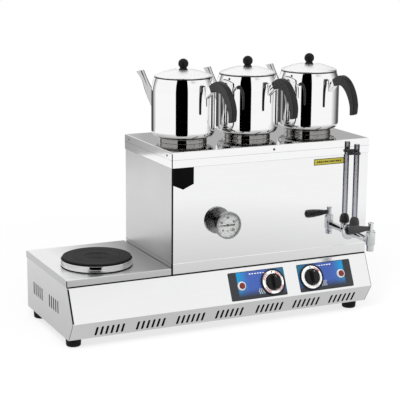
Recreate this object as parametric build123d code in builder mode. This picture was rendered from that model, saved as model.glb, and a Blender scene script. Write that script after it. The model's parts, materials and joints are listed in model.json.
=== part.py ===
from build123d import *
import os
from math import cos, hypot, radians, sin

# Tea boiler: a base cabinet with a hot plate, a water boiler and three teapots.
# Millimetres, +Z up, the front faces -Y. The origin is under the middle of the whole object, on the table.

# Sheet metal
SHEET = 1.2                 # stainless sheet
BEND = 3.0                  # outer radius of a folded edge
LAP_GAP = 0.3               # play between a turned-down edge and the sheet behind it
SIDE_INSET = SHEET + LAP_GAP

# Base cabinet
BASE_WIDTH = 870.0
BASE_DEPTH = 322.0
DECK_WIDTH = 285.0          # left part of the base, beside the boiler
FOOT_HEIGHT = 26.0
FOOT_RADIUS = 20.5
FOOT_INSET_X = 28.0         # foot centre to the end of the base
FOOT_INSET_Y = 32.0         # foot centre to the front and back faces
DECK_HEIGHT = 181.0         # deck above the table
DECK_FLANGE = 18.0          # turned-down edge of the deck
NOSE_OUT = 39.0             # nose in front of the front face
NOSE_HEIGHT = 76.0          # nose above the table
LIP_OUT = 6.5               # bottom of the lip in front of the front face
SILL_RETURN = 24.0          # folded-back top edge of the front panel
LIP_RETURN = 8.0            # folded-back bottom edge, behind the front face
FLOOR_SHEET = 2.5           # floor plate under the boiler
FLOOR_SETBACK = 3.0         # floor plate behind the front face
FLOOR_LEDGE = 25.0          # floor plate under the end of the deck

# Vents
LIP_SLOT_WIDTH = 6.2
LIP_SLOT_LENGTH = 33.0
LIP_SLOT_PITCH = 14.2
LIP_SLOTS = 6
LIP_GROUP_PITCH = 112.0
LIP_GROUP_BREAK = 7.0       # more room to the right of the middle group
LIP_VENT_MARGIN = 40.0      # no vents nearer than this to the ends of the base
LIP_SLOT_DROP = 34.5        # slot centre below the nose, along the lip
LIP_VENT_X = 7.5            # middle of the whole row of vents
SIDE_SLOT_WIDTH = 7.0
SIDE_SLOT_LENGTH = 34.0
SIDE_SLOT_PITCH = 16.5
SIDE_SLOTS = 5
SIDE_GROUP_PITCH = 126.0
SIDE_VENT_SHIFT = 6.0       # middle of the side vents behind the middle of the base
SIDE_SLOT_HEIGHT = 92.0

# Hot plate
PLATE_INSET = 123.5         # centre from the left end of the base
PLATE_BACK = 113.0          # centre behind the front face
PLATE_RADIUS = 90.0
PLATE_TOP = 24.0            # cooking face above the deck
PLATE_THICKNESS = 12.0
PLATE_SKIRT = 7.0           # width of the rim that the casting stands on
PLATE_RECESS_RADIUS = 32.0
PLATE_RECESS = 1.0
RIM_HEIGHT = 19.5
RIM_FLANGE = 9.0            # inward ledge of the rim
RIM_PLAY = 1.8
DECK_HOLE_LEDGE = 5.0       # deck left under the rim's ledge
STUD_RADIUS = 4.0
STUD_PLAY = 0.2
CLAMP_WIDTH = 26.0
CLAMP_THICKNESS = 3.0
CLAMP_OVERHANG = 14.0       # bar past each side of the deck hole
CLAMP_NUT_RADIUS = 7.5
CLAMP_NUT_HEIGHT = 6.5

# Boiler
BOILER_DEPTH = 315.0
BOILER_TOP = 481.0          # top face above the table
COVER_FLANGE = 40.0
BAND_HEIGHT = 27.0          # doubled strip along the bottom of the front and side panels
BAND_OUT = 0.8
CORNER_GAP = 2.0            # open joint between the front panel and the side panels
DECK_GAP = 2.0              # open joint between the deck and the boiler
TANK_GAP_X = 20.0           # tank wall inside the cover's ends
TANK_GAP_Y = 22.0
TANK_LIFT = 33.0            # underside of the tank above the boiler's floor
TANK_CORNER = 8.0
TANK_RIM = 12.0             # outward rim under the cover
SEAT_HOLE_RADIUS = 57.0
SCREW_RADIUS = 1.9
SCREW_HOLE_PLAY = 0.2
SCREW_HEAD_RADIUS = 3.6
SCREW_HEAD_HEIGHT = 1.8
SCREW_HEAD_TAPER = 25.0
SCREW_LENGTH = 6.0
SCREW_DROP = 11.0           # screw centre below the top face
SCREW_INSET = 30.0          # side screws from the front and back faces

# Heating element
ELEMENT_RADIUS = 4.2
ELEMENT_SPAN = 400.0        # reach inside the tank
ELEMENT_SPREAD = 70.0       # between its two legs
ELEMENT_LIFT = 34.0         # tube centre above the tank floor
ELEMENT_TAIL = 13.0         # terminals outside the tank wall
ELEMENT_NUT_RADIUS = 10.0
ELEMENT_NUT_HEIGHT = 6.0
ELEMENT_PLAY = 0.2
WIRE_HOLE_WIDTH = 14.0      # passage for wiring in the floor plate
WIRE_HOLE_LENGTH = 60.0

# Teapots
POT_PITCH = 190.0
POT_BACK = 157.0            # pot axes behind the front face
POT_TURNS = (66.0, 71.0, 74.0)   # handle of each pot, turned from +X towards the front
POT_RADIUS = 84.0
POT_WALL = 1.2
POT_RING_RADIUS = 64.0      # ring that the pot stands on
POT_RING_HEIGHT = 12.0
POT_BELLY_START = 30.0      # the straight wall starts here
POT_SHOULDER = 128.0        # and ends here
POT_RIM_RADIUS = 75.0
POT_RIM_HEIGHT = 172.0
POT_BOSS_DEPTH = 6.0        # step that drops into the seat hole
POT_BOSS_PLAY = 2.0

# Spout, as distance from the pot's axis, height over the seat, and half sizes
SPOUT_ROOT = (86.0, 24.0, 17.0)              # height, half height, half width at the wall
SPOUT_ROOT_SINK = 7.0                        # first section inside the wall
SPOUT_STATIONS = (
    (106.0, 101.0, 15.0, 13.0),
    (126.0, 128.0, 10.5, 10.0),
    (140.0, 153.0, 8.2, 8.0),
    (155.0, 173.0, 11.5, 9.5),
)
SPOUT_TILTS = (40.0, 60.0, 58.0, 74.0)       # rise of the spout at each station, in degrees
SPOUT_WALL = 1.2

# Handle, in its own upright plane: distance from the axis and height over the seat
GRIP_WIDTH = 23.0
GRIP_ROOT_TOP = (97.0, 156.0)
GRIP_ROOT_BOTTOM = (105.0, 138.0)
GRIP_OUTER = ((122.0, 168.0), (148.0, 156.0), (167.0, 128.0), (176.0, 96.0), (174.5, 67.5))
GRIP_INNER = ((161.5, 64.0), (161.0, 88.0), (153.0, 112.0), (140.0, 132.0), (124.0, 142.0))
GRIP_ROUND = 5.0
BRACKET_WIDTH = 17.0
BRACKET_SHEET = 2.0
BRACKET_TOP = 150.0         # on the wall, over the seat
BRACKET_BOTTOM = 118.0
TONGUE_LENGTH = 16.0        # tongue inside the grip
TONGUE_WIDTH = 10.0
TONGUE_PLAY = 0.2

# Lids
LID_RADIUS = 75.5
LID_WALL = 1.2
LID_RIM = 2.5               # upright edge of the lid
LID_DOME = 17.0             # dome above that edge, were it not for the hollow
LID_HOLLOW = 4.5            # depth of the hollow that the knob stands in
LID_HOLLOW_RADIUS = 22.0
LID_HOLLOW_FLAT = 13.5      # level middle of the hollow
LID_COLLAR_DEPTH = 9.0
LID_COLLAR_PLAY = 0.8
LID_KNOB_FLANGE = 12.5
LID_KNOB_FLANGE_HEIGHT = 3.0
LID_KNOB_NECK = 7.5
LID_KNOB_BALL = 13.5
LID_KNOB_RISE = 14.5        # ball centre above the flange
LID_STUD_RADIUS = 2.5
LID_STUD_PLAY = 0.2

# Tap
TAP_INSET = 54.0            # tap axis from the right end of the base
TAP_HEIGHT = 62.0           # shank axis above the boiler's floor
TAP_OUT = 105.0             # outlet axis in front of the front face
TAP_SHANK_RADIUS = 9.5
TAP_BORE = 5.8
TAP_OUTLET_BORE = 6.5
TAP_BARREL_RADIUS = 12.8
TAP_TIP_RADIUS = 9.3
TAP_OUTLET_DROP = 29.0      # outlet below the shank axis
TAP_TAPER_DROP = 8.0        # the outlet's taper ends this far below the shank axis
TAP_BARREL_RISE = 24.0      # barrel above the shank axis
TAP_PLUG_RADIUS = 8.0
TAP_PLUG_PLAY = 0.05
TAP_PLUG_DROP = 9.0         # plug below the shank axis
TAP_STEM_RADIUS = 7.0
TAP_STEM_RISE = 43.0        # stem above the shank axis
TAP_CAP_RADIUS = 7.6
TAP_CAP_HEIGHT = 6.0
TAP_TANK_END = 26.0         # thread past the tank wall
TAP_HOLE_PLAY = 0.3
TAP_FLANGE_RADIUS = 22.0
TAP_FLANGE_THICKNESS = 4.5
TAP_NUT_RADIUS = 17.0
TAP_NUT_THICKNESS = 8.0
LEVER_RISE = 33.5           # lever above the shank axis
LEVER_START = 8.5           # grip from the tap's axis
LEVER_END = 74.0
LEVER_SWELL = 52.0          # thickest place from the tap's axis
LEVER_RADII = (5.6, 11.0, 10.6)
LEVER_STUD_RADIUS = 3.0
LEVER_STUD_END = 34.0
LEVER_STUD_PLAY = 0.2

# Level gauge
GAUGE_OUT = 24.0            # glass axis in front of the front face
GLASS_RADIUS = 7.5
GLASS_WALL = 2.0
GLASS_OVER_CLIP = 25.0      # glass above the clip
GAUGE_BOSS_RADIUS = 8.8
GAUGE_BOSS_RISE = 21.0      # boss above the shank axis
GAUGE_BORE = 4.0
GLAND_RADIUS = 13.5
GLAND_HEIGHT = 24.0
GLAND_PLAY = 0.2
CLIP_HEIGHT = 446.0         # clip above the table
CLIP_SEAT_DROP = 35.0       # middle of its seat below the top face
CLIP_THICKNESS = 9.0
CLIP_RADIUS = 11.0
CLIP_ARM_WIDTH = 12.0
CLIP_FOOT_WIDTH = 26.0
CLIP_FOOT_HEIGHT = 16.0
CLIP_FOOT_THICKNESS = 3.0

# Thermometer
THERMO_INSET = 145.0        # axis from the left end of the boiler
THERMO_RISE = 124.5         # axis above the boiler's floor
THERMO_RADIUS = 35.5
THERMO_FACE_OUT = 37.0      # front of the bezel in front of the front face
THERMO_DEPTH = 12.0
THERMO_BACK = 3.0
THERMO_RING = 3.0
THERMO_NECK_RADIUS = 10.0
THERMO_NECK_LENGTH = 12.0
THERMO_STEM_RADIUS = 6.0
THERMO_STEM_DEPTH = 60.0    # stem inside the tank
THERMO_HOLE_PLAY = 0.4
DIAL_THICKNESS = 0.8
DIAL_PLAY = 0.2
GLASS_THICKNESS = 1.6
GLASS_SETBACK = 1.2
POINTER_LENGTH = 25.0
POINTER_TAIL = 9.0
POINTER_WIDTH = 3.2
POINTER_THICKNESS = 0.6
POINTER_LIFT = 1.2          # pointer above the dial
POINTER_HUB_RADIUS = 3.2
PIN_RADIUS = 1.2
PIN_PLAY = 0.05

# Controls on the sloped face
CONTROL_INSET = 242.0       # middle of the two plates from the right end of the base
PLATE_OFFSET = 103.0
KNOB_OFFSET = 58.8
LAMP_OFFSET = 151.0
FASCIA_LENGTH = 165.0
FASCIA_HEIGHT = 75.0
FASCIA_THICKNESS = 1.2
FASCIA_CORNER = 3.0
CONTROL_DROP = 49.0         # control row below the top of the sloped face
DIAL_RING_RADIUS = 35.0
DIAL_RING_HEIGHT = 5.0
DIAL_RECESS = 1.5
DIAL_RECESS_RADIUS = 31.8
KNOB_RADIUS = 23.0
KNOB_SKIRT = 6.0
KNOB_HEIGHT = 19.0
KNOB_BAR_WIDTH = 11.0
KNOB_GAP = 0.6              # knob above its dial
SHAFT_RADIUS = 3.0
SHAFT_PLAY = 0.05
SHAFT_IN_KNOB = 11.0
SHAFT_IN_SWITCH = 14.0
BUSH_RADIUS = 5.0
BUSH_PLAY = 0.2
SWITCH_SIZE = 42.0
SWITCH_DEPTH = 28.0
LAMP_BEZEL_RADIUS = 12.2
LAMP_BEZEL_HEIGHT = 4.0
LAMP_BEZEL_TAPER = 20.0
LAMP_LENS_RADIUS = 8.0
LAMP_LENS_PLAY = 0.2
LAMP_LENS_DOME = 3.0
LAMP_BODY_RADIUS = 7.0
LAMP_BODY_LENGTH = 22.0
LAMP_HOLE_PLAY = 0.3

# Cord gland in the back panel
CORD_GLAND_INSET = 335.0    # axis from the left end of the base
CORD_GLAND_HEIGHT = 66.0
CORD_GLAND_RADIUS = 9.0
CORD_GLAND_NUT_RADIUS = 12.5
CORD_GLAND_OUT = 14.0
CORD_GLAND_IN = 9.0
CORD_BORE_RADIUS = 4.5
CORD_GLAND_PLAY = 0.2

# Places worked out from the sizes above
LEFT = -BASE_WIDTH / 2
RIGHT = BASE_WIDTH / 2
FRONT = -(BASE_DEPTH - SIDE_INSET + CORD_GLAND_OUT - TAP_OUT - TAP_BARREL_RADIUS) / 2
BACK = FRONT + BASE_DEPTH
SIDE_VENT_Y = (FRONT + BACK) / 2 + SIDE_VENT_SHIFT
SIDE_LEFT = LEFT + SIDE_INSET
SIDE_RIGHT = RIGHT - SIDE_INSET
INNER_LEFT = SIDE_LEFT + SHEET
INNER_RIGHT = SIDE_RIGHT - SHEET
INNER_BACK = BACK - SIDE_INSET - SHEET
DECK_UNDER = DECK_HEIGHT - SHEET
DECK_BEND_FOOT = DECK_UNDER - (BEND - SHEET)
FLOOR_TOP = DECK_HEIGHT - DECK_FLANGE
SILL = FLOOR_TOP - FLOOR_SHEET
NOSE = (FRONT - NOSE_OUT, NOSE_HEIGHT)
LIP_BOTTOM = (FRONT - LIP_OUT, FOOT_HEIGHT)
BOTTOM_UNDER = FOOT_HEIGHT + SHEET

BOILER_WIDTH = BASE_WIDTH - DECK_WIDTH
LIP_GROUPS = int((BASE_WIDTH - 2 * LIP_VENT_MARGIN) / LIP_GROUP_PITCH)
LIP_MIDDLE_GROUP = (LIP_GROUPS - 1) / 2
LIP_GROUP_PLACES = [
    ((group - LIP_MIDDLE_GROUP) * LIP_GROUP_PITCH + LIP_GROUP_BREAK * (group > LIP_MIDDLE_GROUP), 0.0)
    for group in range(LIP_GROUPS)
]
BOX_LEFT = RIGHT - BOILER_WIDTH
BOX_BACK = FRONT + BOILER_DEPTH
JACKET_LEFT = BOX_LEFT + SIDE_INSET
JACKET_RIGHT = RIGHT - SIDE_INSET
JACKET_FRONT = FRONT + SIDE_INSET
JACKET_BACK = BOX_BACK - SIDE_INSET
COVER_UNDER = BOILER_TOP - SHEET
JACKET_TOP = COVER_UNDER - (BEND - SHEET)
TANK_LEFT = BOX_LEFT + TANK_GAP_X
TANK_RIGHT = RIGHT - TANK_GAP_X
TANK_FLOOR = FLOOR_TOP + TANK_LIFT
TANK_FRONT = FRONT + TANK_GAP_Y
TANK_BACK = BOX_BACK - TANK_GAP_Y
POT_MIDDLE = (BOX_LEFT + RIGHT) / 2
POT_Y = FRONT + POT_BACK
POT_COUNT = int(BOILER_WIDTH / POT_PITCH)
POT_FIRST = POT_MIDDLE - POT_PITCH * (POT_COUNT - 1) / 2
POT_CENTRES = [(POT_FIRST + step * POT_PITCH, POT_Y) for step in range(POT_COUNT)]
DECK_RIGHT = JACKET_LEFT - DECK_GAP
FLOOR_LEFT = DECK_RIGHT - FLOOR_LEDGE
PLATE_X = LEFT + PLATE_INSET
PLATE_Y = FRONT + PLATE_BACK
SCREW_HEIGHT = BOILER_TOP - SCREW_DROP
TAP_X = RIGHT - TAP_INSET
TAP_Y = FRONT - TAP_OUT
TAP_Z = FLOOR_TOP + TAP_HEIGHT
TAP_TIP_HEIGHT = TAP_Z - TAP_OUTLET_DROP
TAP_TAPER_TOP = TAP_Z - TAP_TAPER_DROP
TAP_BARREL_TOP = TAP_Z + TAP_BARREL_RISE
TAP_PLUG_BOTTOM = TAP_Z - TAP_PLUG_DROP
TAP_STEM_TOP = TAP_Z + TAP_STEM_RISE
LEVER_HEIGHT = TAP_Z + LEVER_RISE
GAUGE_BOSS_TOP = TAP_Z + GAUGE_BOSS_RISE
GAUGE_Y = FRONT - GAUGE_OUT
GLASS_TOP = CLIP_HEIGHT + GLASS_OVER_CLIP
CLIP_SEAT = BOILER_TOP - CLIP_SEAT_DROP
THERMO_X = BOX_LEFT + THERMO_INSET
THERMO_HEIGHT = FLOOR_TOP + THERMO_RISE
CONTROL_X = RIGHT - CONTROL_INSET
GLAND_X = LEFT + CORD_GLAND_INSET

# Sloped control face: x along the base, y up the slope, z out of the panel
SLOPE_RUN = hypot(NOSE_OUT, SILL - NOSE_HEIGHT)
SLOPE_OUT = (0, -(SILL - NOSE_HEIGHT) / SLOPE_RUN, NOSE_OUT / SLOPE_RUN)
SLOPE = Plane(origin=(0, FRONT, SILL), x_dir=(1, 0, 0), z_dir=SLOPE_OUT)
OUT_OF_SLOPE = Axis(SLOPE.origin, SLOPE.z_dir)
SLOPE_BEHIND = SLOPE.offset(-SHEET)
FASCIA_FACE = SLOPE.offset(FASCIA_THICKNESS)
DIAL_FACE = FASCIA_FACE.offset(DIAL_RING_HEIGHT - DIAL_RECESS)
KNOB_BASE = DIAL_FACE.offset(KNOB_GAP)
KNOB_PLACES = [(CONTROL_X - KNOB_OFFSET, -CONTROL_DROP), (CONTROL_X + KNOB_OFFSET, -CONTROL_DROP)]
LAMP_PLACES = [(CONTROL_X - LAMP_OFFSET, -CONTROL_DROP), (CONTROL_X + LAMP_OFFSET, -CONTROL_DROP)]

# Slotted lip under the nose: x along the base, y up the lip, z out of it
LIP_RUN = hypot(NOSE_OUT - LIP_OUT, NOSE_HEIGHT - FOOT_HEIGHT)
LIP_NORMAL = (0, -(NOSE_HEIGHT - FOOT_HEIGHT) / LIP_RUN, -(NOSE_OUT - LIP_OUT) / LIP_RUN)
LIP = Plane(origin=(0, NOSE[0], NOSE[1]), x_dir=(1, 0, 0), z_dir=LIP_NORMAL)

# Upright faces looked at from the front, from the back and from the two ends
FRONT_FACE = Plane(origin=(0, JACKET_FRONT, 0), x_dir=(1, 0, 0), z_dir=(0, -1, 0))
BACK_FACE = Plane(origin=(0, JACKET_BACK, 0), x_dir=(-1, 0, 0), z_dir=(0, 1, 0))
LEFT_FACE = Plane(origin=(JACKET_LEFT, 0, 0), x_dir=(0, -1, 0), z_dir=(-1, 0, 0))
RIGHT_FACE = Plane(origin=(JACKET_RIGHT, 0, 0), x_dir=(0, 1, 0), z_dir=(1, 0, 0))

os.makedirs("parts", exist_ok=True)


# Front panel of the base: sill, sloped control face, nose, slotted lip and bottom return in one folded sheet
with BuildPart() as base_front_panel:
    with BuildSketch(Plane.YZ.offset(INNER_LEFT)):
        with BuildLine():
            FilletPolyline(
                (FRONT + SILL_RETURN, SILL),
                (FRONT, SILL),
                NOSE,
                LIP_BOTTOM,
                (FRONT + LIP_RETURN, FOOT_HEIGHT),
                radius=BEND,
            )
            offset(amount=SHEET, side=Side.LEFT, closed=True)
        make_face()
    extrude(amount=INNER_RIGHT - INNER_LEFT)
    with BuildSketch(LIP):
        with Locations((LIP_VENT_X, -LIP_SLOT_DROP)):
            with Locations(*LIP_GROUP_PLACES):
                with GridLocations(LIP_SLOT_PITCH, 0, LIP_SLOTS, 1):
                    SlotOverall(LIP_SLOT_LENGTH, LIP_SLOT_WIDTH, rotation=90)
    extrude(amount=-2 * SHEET, mode=Mode.SUBTRACT)
    with BuildSketch(SLOPE):
        with Locations(*KNOB_PLACES):
            Circle(BUSH_RADIUS + BUSH_PLAY)
        with Locations(*LAMP_PLACES):
            Circle(LAMP_BODY_RADIUS + LAMP_HOLE_PLAY)
    extrude(amount=-2 * SHEET, mode=Mode.SUBTRACT)
base_front_panel.part.label = "base_front_panel"
export_step(base_front_panel.part, "parts/base_front_panel.step")


# Outline of the base seen from its end, below the sill
with BuildSketch() as base_end_outline:
    with BuildLine():
        FilletPolyline(
            (BACK - SIDE_INSET, FOOT_HEIGHT),
            LIP_BOTTOM,
            NOSE,
            (FRONT, SILL),
            (BACK - SIDE_INSET, SILL),
            radius=BEND,
            close=True,
        )
    make_face()

# Two groups of upright slots in an end plate
with BuildSketch() as base_end_vents:
    with Locations((SIDE_VENT_Y, SIDE_SLOT_HEIGHT)):
        with GridLocations(SIDE_GROUP_PITCH, 0, 2, 1):
            with GridLocations(SIDE_SLOT_PITCH, 0, SIDE_SLOTS, 1):
                SlotOverall(SIDE_SLOT_LENGTH, SIDE_SLOT_WIDTH, rotation=90)

# End plates of the base; the left one reaches up inside the deck's edge
with BuildPart() as base_left_side:
    with BuildSketch(Plane.YZ.offset(SIDE_LEFT)):
        add(base_end_outline.sketch)
        with Locations((FRONT + SIDE_INSET, DECK_BEND_FOOT)):
            Rectangle(
                BASE_DEPTH - 2 * SIDE_INSET,
                DECK_BEND_FOOT - SILL + BEND,
                align=(Align.MIN, Align.MAX),
            )
        add(base_end_vents.sketch, mode=Mode.SUBTRACT)
    extrude(amount=SHEET)
base_left_side.part.label = "base_left_side"
export_step(base_left_side.part, "parts/base_left_side.step")

with BuildPart() as base_right_side:
    with BuildSketch(Plane.YZ.offset(INNER_RIGHT)):
        add(base_end_outline.sketch)
        add(base_end_vents.sketch, mode=Mode.SUBTRACT)
    extrude(amount=SHEET)
base_right_side.part.label = "base_right_side"
export_step(base_right_side.part, "parts/base_right_side.step")

# Back panel between the end plates, higher under the deck than under the boiler
BACK_PANEL = Plane(origin=(0, INNER_BACK, 0), x_dir=(-1, 0, 0), z_dir=(0, 1, 0))
with BuildPart() as base_back_panel:
    with BuildSketch(BACK_PANEL):
        with Locations((-INNER_RIGHT, FOOT_HEIGHT)):
            Rectangle(INNER_RIGHT - INNER_LEFT, SILL - FOOT_HEIGHT, align=(Align.MIN, Align.MIN))
        with Locations((-INNER_LEFT, FOOT_HEIGHT)):
            Rectangle(
                FLOOR_LEFT - LAP_GAP - INNER_LEFT,
                DECK_BEND_FOOT - FOOT_HEIGHT,
                align=(Align.MAX, Align.MIN),
            )
        with Locations((-GLAND_X, CORD_GLAND_HEIGHT)):
            Circle(CORD_GLAND_RADIUS + CORD_GLAND_PLAY, mode=Mode.SUBTRACT)
    extrude(amount=SHEET)
base_back_panel.part.label = "base_back_panel"
export_step(base_back_panel.part, "parts/base_back_panel.step")

# Bottom plate, on the front panel's bottom return
with BuildPart() as base_bottom_plate:
    with BuildSketch(Plane.XY.offset(BOTTOM_UNDER)):
        with Locations((INNER_LEFT, FRONT)):
            Rectangle(INNER_RIGHT - INNER_LEFT, INNER_BACK - FRONT, align=(Align.MIN, Align.MIN))
    extrude(amount=SHEET)
base_bottom_plate.part.label = "base_bottom_plate"
export_step(base_bottom_plate.part, "parts/base_bottom_plate.step")

# Four rubber feet under the bottom plate
FOOT_TAPER = 1.5
FOOT_ROUND = 2.0
with BuildPart() as rubber_feet:
    for foot_x in (LEFT + FOOT_INSET_X, RIGHT - FOOT_INSET_X):
        for foot_y in (FRONT + FOOT_INSET_Y, BACK - FOOT_INSET_Y):
            with Locations((foot_x, foot_y, 0)):
                Cone(
                    FOOT_RADIUS - FOOT_TAPER,
                    FOOT_RADIUS,
                    BOTTOM_UNDER,
                    align=(Align.CENTER, Align.CENTER, Align.MIN),
                )
    fillet(rubber_feet.edges().filter_by(GeomType.CIRCLE).group_by(Axis.Z)[0], radius=FOOT_ROUND)
rubber_feet.part.label = "rubber_feet"
export_step(rubber_feet.part, "parts/rubber_feet.step")

# Deck: a shallow tray turned upside down over the left part of the base
DECK_HOLE_RADIUS = PLATE_RADIUS - PLATE_SKIRT - DECK_HOLE_LEDGE
with BuildPart() as hotplate_deck:
    with BuildSketch(Plane.XY.offset(FLOOR_TOP)):
        with Locations((LEFT, FRONT)):
            Rectangle(DECK_RIGHT - LEFT, BASE_DEPTH, align=(Align.MIN, Align.MIN))
    extrude(amount=DECK_FLANGE)
    fillet(hotplate_deck.faces().sort_by(Axis.Z)[-1].edges(), radius=BEND)
    offset(amount=-SHEET, openings=hotplate_deck.faces().sort_by(Axis.Z)[0])
    with Locations((PLATE_X, PLATE_Y, DECK_HEIGHT)):
        Hole(DECK_HOLE_RADIUS, depth=DECK_FLANGE)
hotplate_deck.part.label = "hotplate_deck"
export_step(hotplate_deck.part, "parts/hotplate_deck.step")

# Floor plate that carries the boiler and the inner edge of the deck
with BuildPart() as boiler_floor:
    with BuildSketch(Plane.XY.offset(SILL)):
        with Locations((FLOOR_LEFT, FRONT + FLOOR_SETBACK)):
            Rectangle(
                SIDE_RIGHT - FLOOR_LEFT,
                BASE_DEPTH - SIDE_INSET - FLOOR_SETBACK,
                align=(Align.MIN, Align.MIN),
            )
        with Locations((TANK_LEFT, (TANK_FRONT + TANK_BACK) / 2)):
            SlotOverall(WIRE_HOLE_LENGTH, WIRE_HOLE_WIDTH, rotation=90, mode=Mode.SUBTRACT)
    extrude(amount=FLOOR_SHEET)
boiler_floor.part.label = "boiler_floor"
export_step(boiler_floor.part, "parts/boiler_floor.step")

# Hot plate: steel rim with an inward ledge, the casting that stands on it, and its clamp under the deck
RIM_RADIUS = PLATE_RADIUS + RIM_PLAY + SHEET
RIM_FOOT = DECK_HEIGHT + SHEET
PLATE_FACE = DECK_HEIGHT + PLATE_TOP
PLATE_UNDER = PLATE_FACE - PLATE_THICKNESS
PLATE_ROUND = 2.0
with BuildPart() as hotplate_rim:
    with BuildSketch(Plane.XY.offset(DECK_HEIGHT)):
        with Locations((PLATE_X, PLATE_Y)):
            Circle(RIM_RADIUS)
            Circle(RIM_RADIUS - RIM_FLANGE, mode=Mode.SUBTRACT)
    extrude(amount=SHEET)
    with BuildSketch(Plane.XY.offset(DECK_HEIGHT)):
        with Locations((PLATE_X, PLATE_Y)):
            Circle(RIM_RADIUS)
            Circle(RIM_RADIUS - SHEET, mode=Mode.SUBTRACT)
    extrude(amount=RIM_HEIGHT)
hotplate_rim.part.label = "hotplate_rim"
export_step(hotplate_rim.part, "parts/hotplate_rim.step")

CLAMP_UNDER = DECK_UNDER - CLAMP_THICKNESS
STUD_END = CLAMP_UNDER - CLAMP_NUT_HEIGHT - STUD_RADIUS
with BuildPart() as hotplate_casting:
    with BuildSketch(Plane.XY.offset(RIM_FOOT)):
        with Locations((PLATE_X, PLATE_Y)):
            Circle(PLATE_RADIUS)
    extrude(amount=PLATE_FACE - RIM_FOOT)
    fillet(hotplate_casting.faces().sort_by(Axis.Z)[-1].edges(), radius=PLATE_ROUND)
    with BuildSketch(Plane.XY.offset(RIM_FOOT)):
        with Locations((PLATE_X, PLATE_Y)):
            Circle(PLATE_RADIUS - PLATE_SKIRT)
    extrude(amount=PLATE_UNDER - RIM_FOOT, mode=Mode.SUBTRACT)
    with BuildSketch(Plane.XY.offset(PLATE_FACE)):
        with Locations((PLATE_X, PLATE_Y)):
            Circle(PLATE_RECESS_RADIUS)
    extrude(amount=-PLATE_RECESS, mode=Mode.SUBTRACT)
    with BuildSketch(Plane.XY.offset(STUD_END)):
        with Locations((PLATE_X, PLATE_Y)):
            Circle(STUD_RADIUS)
    extrude(amount=PLATE_UNDER - STUD_END)
hotplate_casting.part.label = "hotplate_casting"
export_step(hotplate_casting.part, "parts/hotplate_casting.step")

# Clamp bar with its weld nut, pulled up against the deck by the casting's stud
with BuildPart() as hotplate_clamp:
    with BuildSketch(Plane.XY.offset(CLAMP_UNDER)):
        with Locations((PLATE_X, PLATE_Y)):
            SlotOverall(2 * (DECK_HOLE_RADIUS + CLAMP_OVERHANG), CLAMP_WIDTH)
    extrude(amount=CLAMP_THICKNESS)
    with BuildSketch(Plane.XY.offset(CLAMP_UNDER)):
        with Locations((PLATE_X, PLATE_Y)):
            RegularPolygon(CLAMP_NUT_RADIUS, 6)
    extrude(amount=-CLAMP_NUT_HEIGHT)
    with Locations((PLATE_X, PLATE_Y, DECK_UNDER)):
        Hole(STUD_RADIUS + STUD_PLAY)
hotplate_clamp.part.label = "hotplate_clamp"
export_step(hotplate_clamp.part, "parts/hotplate_clamp.step")

# Boiler jacket: four upright panels standing on the floor plate
SIDE_SCREWS = (FRONT + SCREW_INSET, BOX_BACK - SCREW_INSET)
SCREW_HOLE = SCREW_RADIUS + SCREW_HOLE_PLAY
BAND_TOP = FLOOR_TOP + BAND_HEIGHT
PANEL_HEIGHT = JACKET_TOP - FLOOR_TOP
with BuildPart() as boiler_front_panel:
    with BuildSketch(FRONT_FACE):
        with Locations((JACKET_LEFT, FLOOR_TOP)):
            Rectangle(JACKET_RIGHT - JACKET_LEFT, PANEL_HEIGHT, align=(Align.MIN, Align.MIN))
    extrude(amount=-SHEET)
    with BuildSketch(FRONT_FACE):
        with Locations((JACKET_LEFT, FLOOR_TOP)):
            Rectangle(JACKET_RIGHT - JACKET_LEFT, BAND_HEIGHT, align=(Align.MIN, Align.MIN))
    extrude(amount=BAND_OUT)
    with BuildSketch(FRONT_FACE):
        with Locations((THERMO_X, THERMO_HEIGHT)):
            Circle(THERMO_STEM_RADIUS + THERMO_HOLE_PLAY)
        with Locations((TAP_X, TAP_Z)):
            Circle(TAP_SHANK_RADIUS + TAP_HOLE_PLAY)
        with Locations((POT_MIDDLE, SCREW_HEIGHT)):
            Circle(SCREW_HOLE)
    extrude(amount=-SHEET, mode=Mode.SUBTRACT)
boiler_front_panel.part.label = "boiler_front_panel"
export_step(boiler_front_panel.part, "parts/boiler_front_panel.step")

with BuildPart() as boiler_back_panel:
    with BuildSketch(BACK_FACE):
        with Locations((-JACKET_LEFT, FLOOR_TOP)):
            Rectangle(JACKET_RIGHT - JACKET_LEFT, PANEL_HEIGHT, align=(Align.MAX, Align.MIN))
        with Locations((-POT_MIDDLE, SCREW_HEIGHT)):
            Circle(SCREW_HOLE, mode=Mode.SUBTRACT)
    extrude(amount=-SHEET)
boiler_back_panel.part.label = "boiler_back_panel"
export_step(boiler_back_panel.part, "parts/boiler_back_panel.step")

SIDE_PANEL_FRONT = JACKET_FRONT + SHEET + CORNER_GAP
SIDE_PANEL_DEPTH = JACKET_BACK - SHEET - SIDE_PANEL_FRONT
with BuildPart() as boiler_left_panel:
    with BuildSketch(LEFT_FACE):
        with Locations((-SIDE_PANEL_FRONT, FLOOR_TOP)):
            Rectangle(SIDE_PANEL_DEPTH, PANEL_HEIGHT, align=(Align.MAX, Align.MIN))
        with Locations(*[(-screw_y, SCREW_HEIGHT) for screw_y in SIDE_SCREWS]):
            Circle(SCREW_HOLE, mode=Mode.SUBTRACT)
    extrude(amount=-SHEET)
    with BuildSketch(LEFT_FACE):
        with Locations((-SIDE_PANEL_FRONT, BAND_TOP)):
            Rectangle(SIDE_PANEL_DEPTH, BAND_TOP - DECK_HEIGHT, align=(Align.MAX, Align.MAX))
    extrude(amount=BAND_OUT)
boiler_left_panel.part.label = "boiler_left_panel"
export_step(boiler_left_panel.part, "parts/boiler_left_panel.step")

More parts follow.
